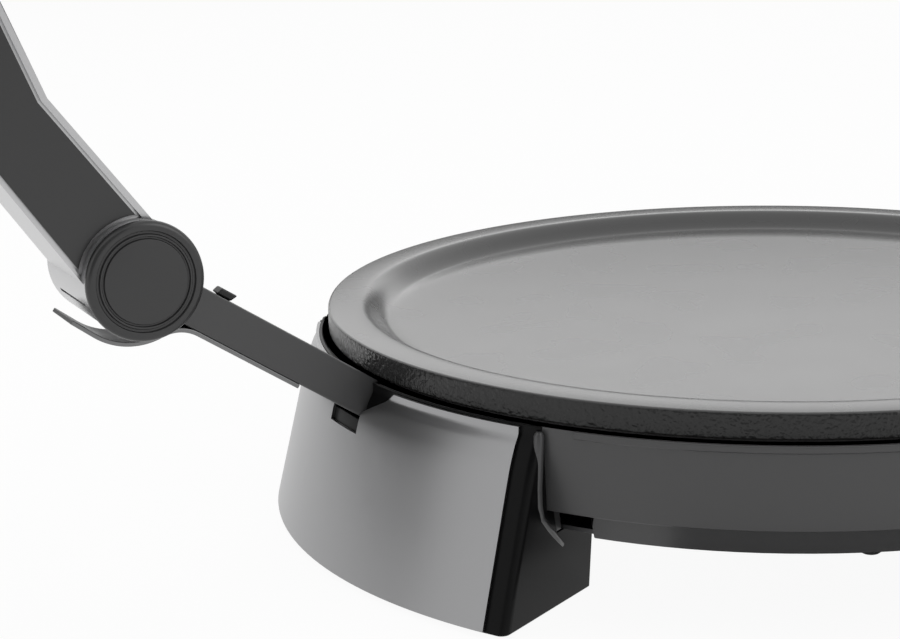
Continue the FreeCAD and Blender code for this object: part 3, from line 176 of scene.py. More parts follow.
def gloss_card(name, tone, near, far, from_deg, to_deg):
    # curved card round the plate's axis between two (distance, height) edges, azimuth from +Y to +X
    card_finish = bpy.data.materials.new(name)
    card_finish.use_nodes = True
    card_finish.node_tree.nodes.clear()
    card_out = card_finish.node_tree.nodes.new("ShaderNodeOutputMaterial")
    card_glow = card_finish.node_tree.nodes.new("ShaderNodeEmission")
    card_glow.inputs["Color"].default_value = (tone, tone, tone, 1)
    card_finish.node_tree.links.new(card_glow.outputs[0], card_out.inputs["Surface"])
    steps = 24
    verts = []
    for k in range(steps + 1):
        a = math.radians(from_deg + (to_deg - from_deg) * k / steps)
        verts += [(r * math.sin(a), plate_axis_y + r * math.cos(a), z) for r, z in (near, far)]
    faces = [(2 * k, 2 * k + 1, 2 * k + 3, 2 * k + 2) for k in range(steps)]
    mesh = bpy.data.meshes.new(name)
    mesh.from_pydata(verts, [], faces)
    mesh.materials.append(card_finish)
    card = bpy.data.objects.new(name, mesh)
    scene.collection.objects.link(card)
    card.visible_camera = False
    card.visible_diffuse = False
    card.visible_shadow = False
    card.visible_transmission = False
    return card


gloss_card("camera_card", 0.16, (1.7, 0.02), (1.7, 1.3), -92.0, -28.0)
# painted shadow: a near-black sheet on the floor under the drum and legs, seen only in gloss, stands in for
# the shade there
gloss_card("leg_floor_card", 0.03, (0.1, 0.002), (0.178, 0.002), -150.0, -42.0)
gloss_card("right_card", 0.1, (1.5, 0.0), (1.5, 0.6), 20.0, 68.0)
gloss_card("far_card", 0.16, (2.0, 0.0), (2.0, 0.5), 96.0, 165.0)


# Drum.
# The wall with its lip, inner ledge and stepped lower tier is one black moulding with rounded
# edges and a fine grain; the pan under it is dark sheet. A bead closes the joint beside each leg.
DRUM_BLACK = (0.062, 0.062, 0.063)
PAN_STEEL = (0.1, 0.1, 0.102)
LEG_HALF_DEG = 29.4
LEG_DRAFT_DEG = 3.75
SEAT_PATH = [(154.2, 57.8, 1.5), (154.0, 50.0, 1.5), (153.8, 42.0, 1.4), (153.2, 36.5, 1.4),
             (151.2, 31.8, 1.3), (147.0, 27.2, 1.2), (142.0, 22.6, 1.1), (139.0, 20.0, 1.0)]
SEAT_SUNK = 0.8


def surface(name, colour, metal=0.0, rough=0.4, coat=0.0, coat_rough=0.1, spec=0.5):
    made = bpy.data.materials.new(name)
    made.use_nodes = True
    bsdf = made.node_tree.nodes["Principled BSDF"]
    bsdf.inputs["Base Color"].default_value = (*colour, 1)
    bsdf.inputs["Metallic"].default_value = metal
    bsdf.inputs["Roughness"].default_value = rough
    bsdf.inputs["Specular IOR Level"].default_value = spec
    bsdf.inputs["Coat Weight"].default_value = coat
    bsdf.inputs["Coat Roughness"].default_value = coat_rough
    return made


def grain(made, size_mm, depth_mm, stretch=(1, 1, 1), detail=2.0):
    # fine raised grain, from noise on the piece's own coordinates
    tree = made.node_tree
    where = tree.nodes.new("ShaderNodeTexCoord")
    placed = tree.nodes.new("ShaderNodeMapping")
    placed.inputs["Scale"].default_value = stretch
    noise = tree.nodes.new("ShaderNodeTexNoise")
    noise.inputs["Scale"].default_value = 1000.0 / size_mm
    noise.inputs["Detail"].default_value = detail
    bump = tree.nodes.new("ShaderNodeBump")
    bump.inputs["Distance"].default_value = depth_mm / 1000.0
    tree.links.new(where.outputs["Object"], placed.inputs["Vector"])
    tree.links.new(placed.outputs["Vector"], noise.inputs["Vector"])
    tree.links.new(noise.outputs["Fac"], bump.inputs["Height"])
    tree.links.new(bump.outputs["Normal"], tree.nodes["Principled BSDF"].inputs["Normal"])
    return made


def clouded(made, size_mm, rough_low, rough_high):
    # slow change of gloss over the surface, as handling and moulding leave it
    tree = made.node_tree
    where = tree.nodes.new("ShaderNodeTexCoord")
    noise = tree.nodes.new("ShaderNodeTexNoise")
    noise.inputs["Scale"].default_value = 1000.0 / size_mm
    spread = tree.nodes.new("ShaderNodeMapRange")
    spread.inputs["To Min"].default_value = rough_low
    spread.inputs["To Max"].default_value = rough_high
    tree.links.new(where.outputs["Object"], noise.inputs["Vector"])
    tree.links.new(noise.outputs["Fac"], spread.inputs["Value"])
    tree.links.new(spread.outputs["Result"], tree.nodes["Principled BSDF"].inputs["Roughness"])
    return made


def crease(mesh, degrees, merge=0.0, flat=0.0):
    # smooth faces with sharp edges where the shape turns by more than the given angle
    work = bmesh.new()
    work.from_mesh(mesh)
    if merge:
        bmesh.ops.remove_doubles(work, verts=work.verts, dist=merge)
    if flat:
        bmesh.ops.dissolve_limit(work, angle_limit=math.radians(flat), verts=work.verts, edges=work.edges)
    for face in work.faces:
        face.smooth = True
        face.material_index = 0
    for edge in work.edges:
        edge.smooth = edge.calc_face_angle(0.0) < math.radians(degrees)
    work.to_mesh(mesh)
    work.free()


def finer_copy(node, made, edge_mm=0.3, crease_deg=32.0, flat=0.4):
    # the node's own shape with merged corners, rounded edges and smooth curved faces
    mesh = frame["nodes"][node].data.copy()
    mesh.name = node + "_fine"
    mesh.materials.clear()
    mesh.materials.append(made)
    crease(mesh, crease_deg, 2e-6, flat)
    piece = bpy.data.objects.new(node + "_fine", mesh)
    scene.collection.objects.link(piece)
    if edge_mm:
        bevel = piece.modifiers.new("rounded edges", "BEVEL")
        bevel.width = edge_mm / 1000.0
        bevel.segments = 2
        bevel.limit_method = "ANGLE"
        bevel.angle_limit = math.radians(crease_deg)
        bevel.use_clamp_overlap = False
        bevel.harden_normals = True
    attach(piece, frame["nodes"][node]["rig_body"])
    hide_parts(node)
    return piece


def swept(name, path, made):
    # round bead along a path of (place, radius), with domed ends
    sides = 16
    rows = []
    for k, (spot, radius) in enumerate(path):
        ahead = path[min(k + 1, len(path) - 1)][0] - path[max(k - 1, 0)][0]
        across = Vector((0, 0, 1)) if abs(ahead.normalized().z) < 0.9 else Vector((1, 0, 0))
        side = ahead.cross(across).normalized()
        up = side.cross(ahead).normalized()
        rows.append((spot, side, up, radius, ahead.normalized()))
    first, last = rows[0], rows[-1]
    caps = [(first[0] - first[4] * first[3] * 0.7, *first[1:3], first[3] * 0.6, first[4])]
    tail = [(last[0] + last[4] * last[3] * 0.7, *last[1:3], last[3] * 0.6, last[4])]
    verts = []
    for spot, side, up, radius, _ in caps + rows + tail:
        for j in range(sides):
            a = 2 * math.pi * j / sides
            verts.append((spot + side * radius * math.cos(a) + up * radius * math.sin(a)) / 1000.0)
    count = len(rows) + 2
    faces = [(i * sides + j, i * sides + (j + 1) % sides,
              (i + 1) * sides + (j + 1) % sides, (i + 1) * sides + j)
             for i in range(count - 1) for j in range(sides)]
    faces += [tuple(range(sides))[::-1], tuple(range((count - 1) * sides, count * sides))]
    mesh = bpy.data.meshes.new(name)
    mesh.from_pydata(verts, [], faces)
    mesh.materials.append(made)
    crease(mesh, 60.0)
    return mesh


drum_black = grain(surface("drum_black", DRUM_BLACK, rough=0.34), 0.5, 0.006)
pan_steel = clouded(surface("pan_steel", PAN_STEEL, metal=1.0, rough=0.5), 15.0, 0.42, 0.58)
finer_copy("base_shell", drum_black, 0.45)
finer_copy("base_pan", pan_steel, 0.2)
for leg_name, leg_turn in (("rear", 0.0), ("front", math.pi)):
    for side_name, side in (("left", -1.0), ("right", 1.0)):
        a = math.radians(LEG_HALF_DEG)
        bead_path = []
        for s, z, radius in SEAT_PATH:
            o = math.tan(math.radians(LEG_DRAFT_DEG)) * z - SEAT_SUNK
            spot = Vector((side * (s * math.sin(a) + o * math.cos(a)),
                           s * math.cos(a) - o * math.sin(a), z))
            spot = Matrix.Rotation(leg_turn, 3, "Z") @ spot
            bead_path.append((spot + Vector((0, plate_axis_y * 1000.0, 0)), radius))
        bead_name = leg_name + "_leg_bead_" + side_name
        bead = bpy.data.objects.new(bead_name, swept(bead_name, bead_path, drum_black))
        scene.collection.objects.link(bead)
        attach(bead, "base")


# Legs.
# Each leg is a hollow black moulding with a cover in its open bottom and two rubber pads; the
# leg at the rear has the passage for the arm.
LEG_BLACK = (0.004, 0.004, 0.0042)
FOOT_RUBBER = (0.02, 0.02, 0.02)
leg_black = grain(surface("leg_black", LEG_BLACK, rough=0.3, spec=0.1), 0.5, 0.004)
foot_rubber = grain(surface("foot_rubber", FOOT_RUBBER, rough=0.7), 0.6, 0.02)
for node in ("rear_leg", "front_leg"):
    finer_copy(node, leg_black, 0.35)
for node in ("rear_leg_cover", "front_leg_cover"):
    finer_copy(node, leg_black, 0.25)
for node in ("rear_feet", "front_feet"):
    finer_copy(node, foot_rubber, 0.2)
finer_copy("arm_socket", leg_black, 0.2)


# Leg skins.
# Conical silver sheets on the legs' outer faces, satin and finely brushed round the leg. The
# rear one has the slot and notch for the arm.
SKIN_SILVER = (0.33, 0.33, 0.335)
silver_skin = grain(surface("silver_skin", SKIN_SILVER, metal=1.0, rough=0.3), 0.5, 0.003, (1, 1, 8))
for node in ("rear_skin", "front_skin"):
    finer_copy(node, silver_skin, 0.0, flat=0.0)


# Cooking plate.
# A cast disc turned on a lathe: flat floor, curved dish wall, flat rim with rounded edges, all
# coated black. Geometry Nodes press the cast texture into the rim's side.
PLATE_R = 151.0
RIM_TOP = 68.9
RIM_BOTTOM = 61.0
RIM_INNER = 139.7
DISH_R = 130.2
DISH_Z = 63.0
UNDER_Z = 57.5
SKIRT_R = 141.6
PLATE_SEGMENTS = 1200
CAST_SIZE = 2.0
CAST_DEPTH = 0.35
CAST_FADE = 0.6
CAST_GRAIN = 1.3
CAST_GRAIN_DEPTH = 0.5
PLATE_IRON = (0.026, 0.026, 0.026)
SIDE_IRON = (0.024, 0.024, 0.024)


def rounded(points, steps=5):
    # outline of (radius, height, corner radius) with its corners made round
    out = []
    for k, (x, y, r) in enumerate(points):
        if r <= 0 or k in (0, len(points) - 1):
            out.append((x, y))
            continue
        here = Vector((x, y))
        a = (Vector(points[k - 1][:2]) - here).normalized()
        b = (Vector(points[k + 1][:2]) - here).normalized()
        half = a.angle(b) / 2
        reach = r / math.tan(half)
        centre = here + (a + b).normalized() * (r / math.sin(half))
        start, end = here + a * reach - centre, here + b * reach - centre
        for i in range(steps + 1):
            spot = centre + start.slerp(end, i / steps).normalized() * r
            out.append((spot.x, spot.y))
    return out


def lathe(name, outline, segments, made, crease_deg=30.0):
    # (radius, height) outline in mm turned about Z, as a mesh about the world's own axis
    verts, rows = [], []
    for r, z in outline:
        if abs(r) < 1e-6:
            rows.append([len(verts)] * segments)
            verts.append((0.0, 0.0, z / 1000.0))
            continue
        rows.append(list(range(len(verts), len(verts) + segments)))
        for j in range(segments):
            a = math.radians(360.0 * j / segments)
            verts.append((r * math.cos(a) / 1000.0, r * math.sin(a) / 1000.0, z / 1000.0))
    faces = []
    for low, high in zip(rows, rows[1:]):
        for j in range(segments):
            n = (j + 1) % segments
            corners = [low[j], low[n], high[n], high[j]]
            corners = [c for i, c in enumerate(corners) if c != corners[i - 1]]
            if len(corners) > 2:
                faces.append(corners)
    mesh = bpy.data.meshes.new(name)
    mesh.from_pydata(verts, [], faces)
    mesh.materials.append(made)
    crease(mesh, crease_deg)
    return mesh


def stands_for(name, mesh, node, matrix=None):
    # a hand-made piece in its rest place, riding with the CAD node that it replaces
    if matrix is not None:
        mesh.transform(matrix)
    piece = bpy.data.objects.new(name, mesh)
    scene.collection.objects.link(piece)
    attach(piece, frame["nodes"][node]["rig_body"])
    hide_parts(node)
    return piece


def node_result(holder, tree, values):
    # mesh that the Geometry Nodes tree makes with the given named inputs
    modifier = holder.modifiers.new("made by nodes", "NODES")
    modifier.node_group = tree
    for item in tree.interface.items_tree:
        if item.item_type == "SOCKET" and item.in_out == "INPUT" and item.name in values:
            modifier[item.identifier] = values[item.name]
    scene.collection.objects.link(holder)
    holder.update_tag()
    bpy.context.view_layer.update()
    depsgraph = bpy.context.evaluated_depsgraph_get()
    mesh = bpy.data.meshes.new_from_object(holder.evaluated_get(depsgraph))
    holder.modifiers.clear()
    bpy.data.objects.remove(holder)
    return mesh


def cast_tree(made):
    # moves the rim's side inwards by noise, from nothing at the rounded edges
    tree = bpy.data.node_groups.new("cast_side", "GeometryNodeTree")
    for label, kind in (("Geometry", "Geometry"), ("Side Radius", "Float"), ("Grain Scale", "Float"),
                        ("Grain Depth", "Float"), ("Seed", "Float")):
        tree.interface.new_socket(name=label, in_out="INPUT", socket_type="NodeSocket" + kind)
    tree.interface.new_socket(name="Geometry", in_out="OUTPUT", socket_type="NodeSocketGeometry")
    nodes, link = tree.nodes, tree.links.new
    given, out = nodes.new("NodeGroupInput"), nodes.new("NodeGroupOutput")
    spot = nodes.new("GeometryNodeInputPosition")
    flat = nodes.new("ShaderNodeVectorMath")
    flat.operation = "MULTIPLY"
    flat.inputs[1].default_value = (1, 1, 0)
    far = nodes.new("ShaderNodeVectorMath")
    far.operation = "LENGTH"
    inside = nodes.new("ShaderNodeMath")
    inside.operation = "SUBTRACT"
    inside.inputs[1].default_value = CAST_FADE / 1000.0
    mask = nodes.new("ShaderNodeMapRange")
    noise = nodes.new("ShaderNodeTexNoise")
    noise.noise_dimensions = "4D"
    noise.inputs["Detail"].default_value = 1.0
    depth = nodes.new("ShaderNodeMath")
    depth.operation = "MULTIPLY"
    amount = nodes.new("ShaderNodeMath")
    amount.operation = "MULTIPLY"
    outwards = nodes.new("ShaderNodeVectorMath")
    outwards.operation = "NORMALIZE"
    moved = nodes.new("ShaderNodeVectorMath")
    moved.operation = "SCALE"
    setter = nodes.new("GeometryNodeSetPosition")
    finish = nodes.new("GeometryNodeSetMaterial")
    finish.inputs["Material"].default_value = made
    link(spot.outputs[0], flat.inputs[0])
    link(flat.outputs[0], far.inputs[0])
    link(given.outputs["Side Radius"], inside.inputs[0])
    link(far.outputs["Value"], mask.inputs["Value"])
    link(inside.outputs[0], mask.inputs["From Min"])
    link(given.outputs["Side Radius"], mask.inputs["From Max"])
    link(spot.outputs[0], noise.inputs["Vector"])
    link(given.outputs["Grain Scale"], noise.inputs["Scale"])
    link(given.outputs["Seed"], noise.inputs["W"])
    link(noise.outputs["Fac"], depth.inputs[0])
    link(given.outputs["Grain Depth"], depth.inputs[1])
    link(depth.outputs[0], amount.inputs[0])
    link(mask.outputs["Result"], amount.inputs[1])
    link(flat.outputs[0], outwards.inputs[0])
    link(outwards.outputs[0], moved.inputs[0])
    link(amount.outputs[0], moved.inputs["Scale"])
    link(given.outputs["Geometry"], setter.inputs["Geometry"])
    link(moved.outputs[0], setter.inputs["Offset"])
    link(setter.outputs[0], finish.inputs["Geometry"])
    link(finish.outputs[0], out.inputs["Geometry"])
    return tree


plate_iron = surface("plate_iron", PLATE_IRON, rough=0.26, spec=0.5, coat=0.4, coat_rough=0.2)
clouded(plate_iron, 30.0, 0.24, 0.3)
iron_nodes, iron_link = plate_iron.node_tree.nodes, plate_iron.node_tree.links.new
facing = iron_nodes.new("ShaderNodeTexCoord")
split = iron_nodes.new("ShaderNodeSeparateXYZ")
upright = iron_nodes.new("ShaderNodeMath")
upright.operation = "ABSOLUTE"
side_share = iron_nodes.new("ShaderNodeMapRange")
side_share.inputs["From Min"].default_value = 0.35
side_share.inputs["From Max"].default_value = 0.75
iron_link(facing.outputs["Normal"], split.inputs[0])
iron_link(split.outputs["Z"], upright.inputs[0])
iron_link(upright.outputs[0], side_share.inputs["Value"])
for socket, at_side, on_top in (("Base Color", SIDE_IRON, PLATE_IRON), ("Specular IOR Level", 0.32, 0.5),
                                ("Coat Weight", 0.0, 0.6)):
    spread = iron_nodes.new("ShaderNodeMapRange")
    low, high = (at_side[0], on_top[0]) if socket == "Base Color" else (at_side, on_top)
    spread.inputs["To Min"].default_value = low
    spread.inputs["To Max"].default_value = high
    iron_link(side_share.outputs["Result"], spread.inputs["Value"])
    iron_link(spread.outputs["Result"], iron_nodes["Principled BSDF"].inputs[socket])
cast = iron_nodes.new("ShaderNodeTexNoise")
cast.inputs["Scale"].default_value = 1000.0 / CAST_GRAIN
cast.inputs["Detail"].default_value = 1.5
cast_share = iron_nodes.new("ShaderNodeMapRange")
cast_share.inputs["To Min"].default_value = 1.0
cast_share.inputs["To Max"].default_value = 0.0
cast_bump = iron_nodes.new("ShaderNodeBump")
cast_bump.inputs["Distance"].default_value = CAST_GRAIN_DEPTH / 1000.0
iron_link(facing.outputs["Object"], cast.inputs["Vector"])
iron_link(side_share.outputs["Result"], cast_share.inputs["Value"])
iron_link(cast_share.outputs["Result"], cast_bump.inputs["Strength"])
iron_link(cast.outputs["Fac"], cast_bump.inputs["Height"])
iron_link(cast_bump.outputs["Normal"], iron_nodes["Principled BSDF"].inputs["Normal"])
dish = [(DISH_R + (RIM_INNER - DISH_R) * t, DISH_Z + (RIM_TOP - DISH_Z) * (3 * t * t - 2 * t ** 3))
        for t in (k / 12.0 for k in range(13))]
side = [(PLATE_R, RIM_BOTTOM + 0.8 + (RIM_TOP - RIM_BOTTOM - 2.0) * k / 9.0, 0.0) for k in range(10)]
outline = rounded([(0.0, UNDER_Z, 0), (SKIRT_R - 2.0, UNDER_Z, 1.0), (SKIRT_R, RIM_BOTTOM, 0.0),
                   (PLATE_R, RIM_BOTTOM, 0.7)] + side
                  + [(PLATE_R, RIM_TOP, 1.1), (RIM_INNER + 2.0, RIM_TOP, 0)])
outline += dish[::-1] + [(DISH_R - 3.0, DISH_Z), (60.0, DISH_Z), (0.0, DISH_Z)]
blank = lathe("plate_blank", outline, PLATE_SEGMENTS, plate_iron, 40.0)
plate_mesh = node_result(bpy.data.objects.new("plate_blank", blank), cast_tree(plate_iron),
                         {"Side Radius": PLATE_R / 1000.0, "Grain Scale": 1000.0 / CAST_SIZE,
                          "Grain Depth": -CAST_DEPTH / 1000.0, "Seed": 3.0})
crease(plate_mesh, 40.0)
stands_for("cooking_plate", plate_mesh, "plate", Matrix.Translation((0, plate_axis_y, 0)))


# Under the plate.
# Ring element in saddles, a dished reflector, and three studs with spacers and nuts; all plain
# metal that shows only from below or through the vents.
BRIGHT_STEEL = (0.6, 0.6, 0.61)
ELEMENT_STEEL = (0.28, 0.26, 0.24)
bright_steel = clouded(surface("bright_steel", BRIGHT_STEEL, metal=1.0, rough=0.2), 8.0, 0.14, 0.26)
element_steel = clouded(surface("element_steel", ELEMENT_STEEL, metal=1.0, rough=0.4), 12.0, 0.3, 0.5)
finer_copy("heating_element", element_steel, 0.2)
for node in ("reflector", "element_clips", "stud_spacers"):
    finer_copy(node, pan_steel, 0.15)
for node in ("plate_studs", "stud_nuts"):
    finer_copy(node, bright_steel, 0.2)


# Screws under the drum.
# Domed heads with a cross recess: one head is made and Geometry Nodes repeat it round the pan and
# in the legs' roofs; the shanks are hidden in the bosses.
SCREW_RING_R = 135.9
HEAD_R = 4.0
HEAD_T = 2.4
SHANK_R = 2.0
SHANK_L = 9.0
PAN_SEAT_Z = 25.2
LEG_SEAT_Z = 22.8


def cross_screw(name, head_r, head_t, shank_r, shank_l, made):
    # head hanging below height 0, shank above it, with a cross-shaped recess under the head
    outline = rounded([(shank_r, shank_l, 0), (shank_r, 0.0, 0), (head_r, 0.0, 0),
                       (head_r, -head_t * 0.45, 0.3), (head_r * 0.62, -head_t, 0.8), (0.0, -head_t, 0)], 4)
    mesh = lathe(name, [(0.0, shank_l)] + outline, 32, made, 35.0)
    screw = bpy.data.objects.new(name, mesh)
    cutter_mesh = bpy.data.meshes.new(name + "_cross")
    work = bmesh.new()
    for a in (0.0, math.pi / 2):
        size = Matrix.Diagonal((head_r * 1.1 / 1000, head_r * 0.26 / 1000, head_t * 1.2 / 1000, 1))
        bmesh.ops.create_cube(work, size=1.0, matrix=Matrix.Translation((0, 0, -head_t / 1000))
                              @ Matrix.Rotation(a, 4, "Z") @ size)
    work.to_mesh(cutter_mesh)
    work.free()
    cutter = bpy.data.objects.new(name + "_cross", cutter_mesh)
    for thing in (screw, cutter):
        scene.collection.objects.link(thing)
    cut = screw.modifiers.new("cross", "BOOLEAN")
    cut.object = cutter
    cut.solver = "EXACT"
    cut.use_self = True
    bpy.context.view_layer.update()
    made_mesh = bpy.data.meshes.new_from_object(screw.evaluated_get(bpy.context.evaluated_depsgraph_get()))
    made_mesh.materials.clear()
    made_mesh.materials.append(made)
    crease(made_mesh, 35.0)
    for thing in (screw, cutter):
        bpy.data.objects.remove(thing)
    return made_mesh


def repeated(name, part_mesh, made, count, radius=0.0, first=0.0, turn=0.0, pitch=(0.0, 0.0, 0.0)):
    # copies of a part on an arc about Z, or along a line, from a Geometry Nodes tree; sizes in mm
    part = bpy.data.objects.new(name + "_part", part_mesh)
    scene.collection.objects.link(part)
    tree = bpy.data.node_groups.new(name, "GeometryNodeTree")
    for label, kind in (("Count", "Int"), ("Radius", "Float"), ("First", "Float"), ("Turn", "Float"),
                        ("Pitch", "Vector")):
        tree.interface.new_socket(name=label, in_out="INPUT", socket_type="NodeSocket" + kind)
    tree.interface.new_socket(name="Geometry", in_out="OUTPUT", socket_type="NodeSocketGeometry")
    nodes, link = tree.nodes, tree.links.new
    given, out = nodes.new("NodeGroupInput"), nodes.new("NodeGroupOutput")
    index = nodes.new("GeometryNodeInputIndex")
    angle = nodes.new("ShaderNodeMath")
    angle.operation = "MULTIPLY_ADD"
    sine, cosine = nodes.new("ShaderNodeMath"), nodes.new("ShaderNodeMath")
    sine.operation, cosine.operation = "SINE", "COSINE"
    arc, facing = nodes.new("ShaderNodeCombineXYZ"), nodes.new("ShaderNodeCombineXYZ")
    back = nodes.new("ShaderNodeMath")
    back.operation = "MULTIPLY"
    back.inputs[1].default_value = -1.0
    reach, step, spot = (nodes.new("ShaderNodeVectorMath") for _ in range(3))
    reach.operation, step.operation, spot.operation = "SCALE", "SCALE", "ADD"
    dots = nodes.new("GeometryNodePoints")
    source = nodes.new("GeometryNodeObjectInfo")
    source.inputs["Object"].default_value = part
    spread = nodes.new("GeometryNodeInstanceOnPoints")
    real = nodes.new("GeometryNodeRealizeInstances")
    finish = nodes.new("GeometryNodeSetMaterial")
    finish.inputs["Material"].default_value = made
    link(index.outputs[0], angle.inputs[0])
    link(given.outputs["Turn"], angle.inputs[1])
    link(given.outputs["First"], angle.inputs[2])
    link(angle.outputs[0], sine.inputs[0])
    link(angle.outputs[0], cosine.inputs[0])
    link(angle.outputs[0], back.inputs[0])
    link(sine.outputs[0], arc.inputs["X"])
    link(cosine.outputs[0], arc.inputs["Y"])
    link(back.outputs[0], facing.inputs["Z"])
    link(arc.outputs[0], reach.inputs[0])
    link(given.outputs["Radius"], reach.inputs["Scale"])
    link(given.outputs["Pitch"], step.inputs[0])
    link(index.outputs[0], step.inputs["Scale"])
    link(reach.outputs[0], spot.inputs[0])
    link(step.outputs[0], spot.inputs[1])
    link(given.outputs["Count"], dots.inputs["Count"])
    link(spot.outputs[0], dots.inputs["Position"])
    link(dots.outputs[0], spread.inputs["Points"])
    link(source.outputs["Geometry"], spread.inputs["Instance"])
    link(facing.outputs[0], spread.inputs["Rotation"])
    link(spread.outputs[0], real.inputs[0])
    link(real.outputs[0], finish.inputs["Geometry"])
    link(finish.outputs[0], out.inputs["Geometry"])
    values = {"Count": count, "Radius": radius / 1000.0, "First": first, "Turn": turn,
              "Pitch": tuple(p / 1000.0 for p in pitch)}
    mesh = node_result(bpy.data.objects.new(name, bpy.data.meshes.new(name)), tree, values)
    bpy.data.objects.remove(part)
    crease(mesh, 35.0)
    return mesh


def merged(name, meshes, made):
    work = bmesh.new()
    for mesh in meshes:
        work.from_mesh(mesh)
    mesh = bpy.data.meshes.new(name)
    work.to_mesh(mesh)
    work.free()
    mesh.materials.append(made)
    crease(mesh, 35.0)
    return mesh


one_screw = cross_screw("one_screw", HEAD_R, HEAD_T, SHANK_R, SHANK_L, bright_steel)
for name, node, seat, angles in (("pan_screw_heads", "pan_screws", PAN_SEAT_Z, (67.5, 112.5)),
                                 ("leg_screw_heads", "leg_screws", LEG_SEAT_Z, (22.5, 157.5))):
    pairs = []
    for start in angles:
        pair = repeated(name, one_screw, bright_steel, 2, SCREW_RING_R, math.radians(start), math.pi)
        pair.transform(Matrix.Translation((0, plate_axis_y, seat / 1000.0)))
        pairs.append(pair)
    stands_for(name, merged(name, pairs, bright_steel), node)


# Control panel.
# A black panel on the front leg's slope with the dial's raised marks, which Geometry Nodes set
# round the knob, two tinted lamp lenses and the power switch.
PANEL_Z = 40.0
PANEL_RADIUS = 161.297
LEG_SLOPE_DEG = 13.77
PANEL_PROUD = 1.6
MARK_COUNT = 13
MARK_RING_R = 14.1
MARK_SWEEP_DEG = 270.0
TRIM_BLACK = (0.034, 0.034, 0.0345)
MARK_WHITE = (0.75, 0.75, 0.74)
panel_place = (Matrix.Translation((0, plate_axis_y - PANEL_RADIUS / 1000.0, PANEL_Z / 1000.0))
               @ Matrix.Rotation(math.radians(90.0 - LEG_SLOPE_DEG), 4, "X"))
trim_black = clouded(surface("trim_black", TRIM_BLACK, rough=0.24), 20.0, 0.2, 0.28)
mark_white = clouded(surface("mark_white", MARK_WHITE, rough=0.5), 6.0, 0.42, 0.55)


def small_block(name, width, length, height, made, round_mm=0.2):
    # bar standing on height 0 with rounded edges; sizes in mm
    work = bmesh.new()
    size = Matrix.Diagonal((width / 1000, length / 1000, height / 1000, 1))
    bmesh.ops.create_cube(work, size=1.0, matrix=Matrix.Translation((0, 0, height / 2000)) @ size)
    bmesh.ops.bevel(work, geom=work.edges[:], offset=round_mm / 1000, segments=2, affect="EDGES",
                    profile=0.5)
    mesh = bpy.data.meshes.new(name)
    work.to_mesh(mesh)
    work.free()
    mesh.materials.append(made)
    crease(mesh, 50.0)
    return mesh


finer_copy("control_panel", trim_black, 0.3)
one_mark = small_block("one_mark", 0.5, 1.6, 0.25, mark_white, 0.08)
marks = repeated("dial_marks", one_mark, mark_white, MARK_COUNT, MARK_RING_R,
                 math.radians(-MARK_SWEEP_DEG / 2), math.radians(MARK_SWEEP_DEG / (MARK_COUNT - 1)))
marks.transform(panel_place @ Matrix.Translation((0, 0, (PANEL_PROUD - 0.08) / 1000.0)))
dial_marks = bpy.data.objects.new("dial_marks", marks)
scene.collection.objects.link(dial_marks)
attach(dial_marks, "base")
lamp_red = clouded(surface("lamp_red", (0.5, 0.02, 0.02), rough=0.15, coat=0.5), 6.0, 0.1, 0.2)
lamp_green = clouded(surface("lamp_green", (0.03, 0.35, 0.06), rough=0.15, coat=0.5), 6.0, 0.1, 0.2)
rocker_red = clouded(surface("rocker_red", (0.4, 0.02, 0.015), rough=0.3), 6.0, 0.24, 0.34)
finer_copy("power_lamp", lamp_red, 0.8)
finer_copy("ready_lamp", lamp_green, 0.8)
finer_copy("rocker_frame", trim_black, 0.25)
finer_copy("power_rocker", rocker_red, 0.3)


# Thermostat knob.
# A turned cap with a dished top and a white pointer line; Geometry Nodes put the grip ribs round
# its side. Its steel shaft and the thermostat body are behind the panel.
KNOB_R = 12.5
KNOB_H = 13.0
KNOB_GAP = 0.5
RIB_COUNT = 28
knob_base = PANEL_PROUD + KNOB_GAP
knob_top = knob_base + KNOB_H
cap_outline = rounded([(0.0, knob_base, 0), (KNOB_R - 0.3, knob_base, 0.3),
                       (KNOB_R * 0.88 - 0.3, knob_top - 0.3, 1.0), (KNOB_R * 0.62, knob_top - 0.3, 0.6),
                       (KNOB_R * 0.5, knob_top - 1.0, 0.5), (0.0, knob_top - 1.0, 0)])
cap_mesh = lathe("knob_cap", cap_outline, 96, trim_black, 35.0)
one_rib = small_block("one_rib", 1.1, 1.2, KNOB_H - 3.0, trim_black, 0.3)
ribs = repeated("knob_ribs", one_rib, trim_black, RIB_COUNT, KNOB_R - 0.85, 0.0, 2 * math.pi / RIB_COUNT)
ribs.transform(Matrix.Translation((0, 0, (knob_base + 0.6) / 1000.0)))
pointer_mesh = small_block("knob_pointer", 1.4, KNOB_R * 0.52, 1.2, mark_white, 0.3)
pointer_mesh.transform(Matrix.Translation((0, KNOB_R * 0.56 / 1000.0, (knob_top - 1.1) / 1000.0)))
stands_for("thermostat_cap", merged("thermostat_cap", [cap_mesh, ribs], trim_black), "thermostat_knob",
           panel_place)
pointer_mesh.transform(panel_place)
knob_pointer = bpy.data.objects.new("knob_pointer", pointer_mesh)
scene.collection.objects.link(knob_pointer)
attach(knob_pointer, "knob")
inner_plastic = grain(surface("inner_plastic", (0.03, 0.03, 0.03), rough=0.5), 0.4, 0.006)
finer_copy("knob_shaft", bright_steel, 0.2)
finer_copy("thermostat", inner_plastic, 0.3)


# Mains inlet and wiring.
# A black socket with three brass pins in the right wall, and the terminal block and thermal fuse
# on the pan.
pin_brass = clouded(surface("pin_brass", (0.6, 0.47, 0.22), metal=1.0, rough=0.3), 6.0, 0.22, 0.36)
for node in ("mains_inlet", "terminal_block", "thermal_fuse"):
    finer_copy(node, inner_plastic, 0.0)
finer_copy("inlet_pins", pin_brass, 0.3)


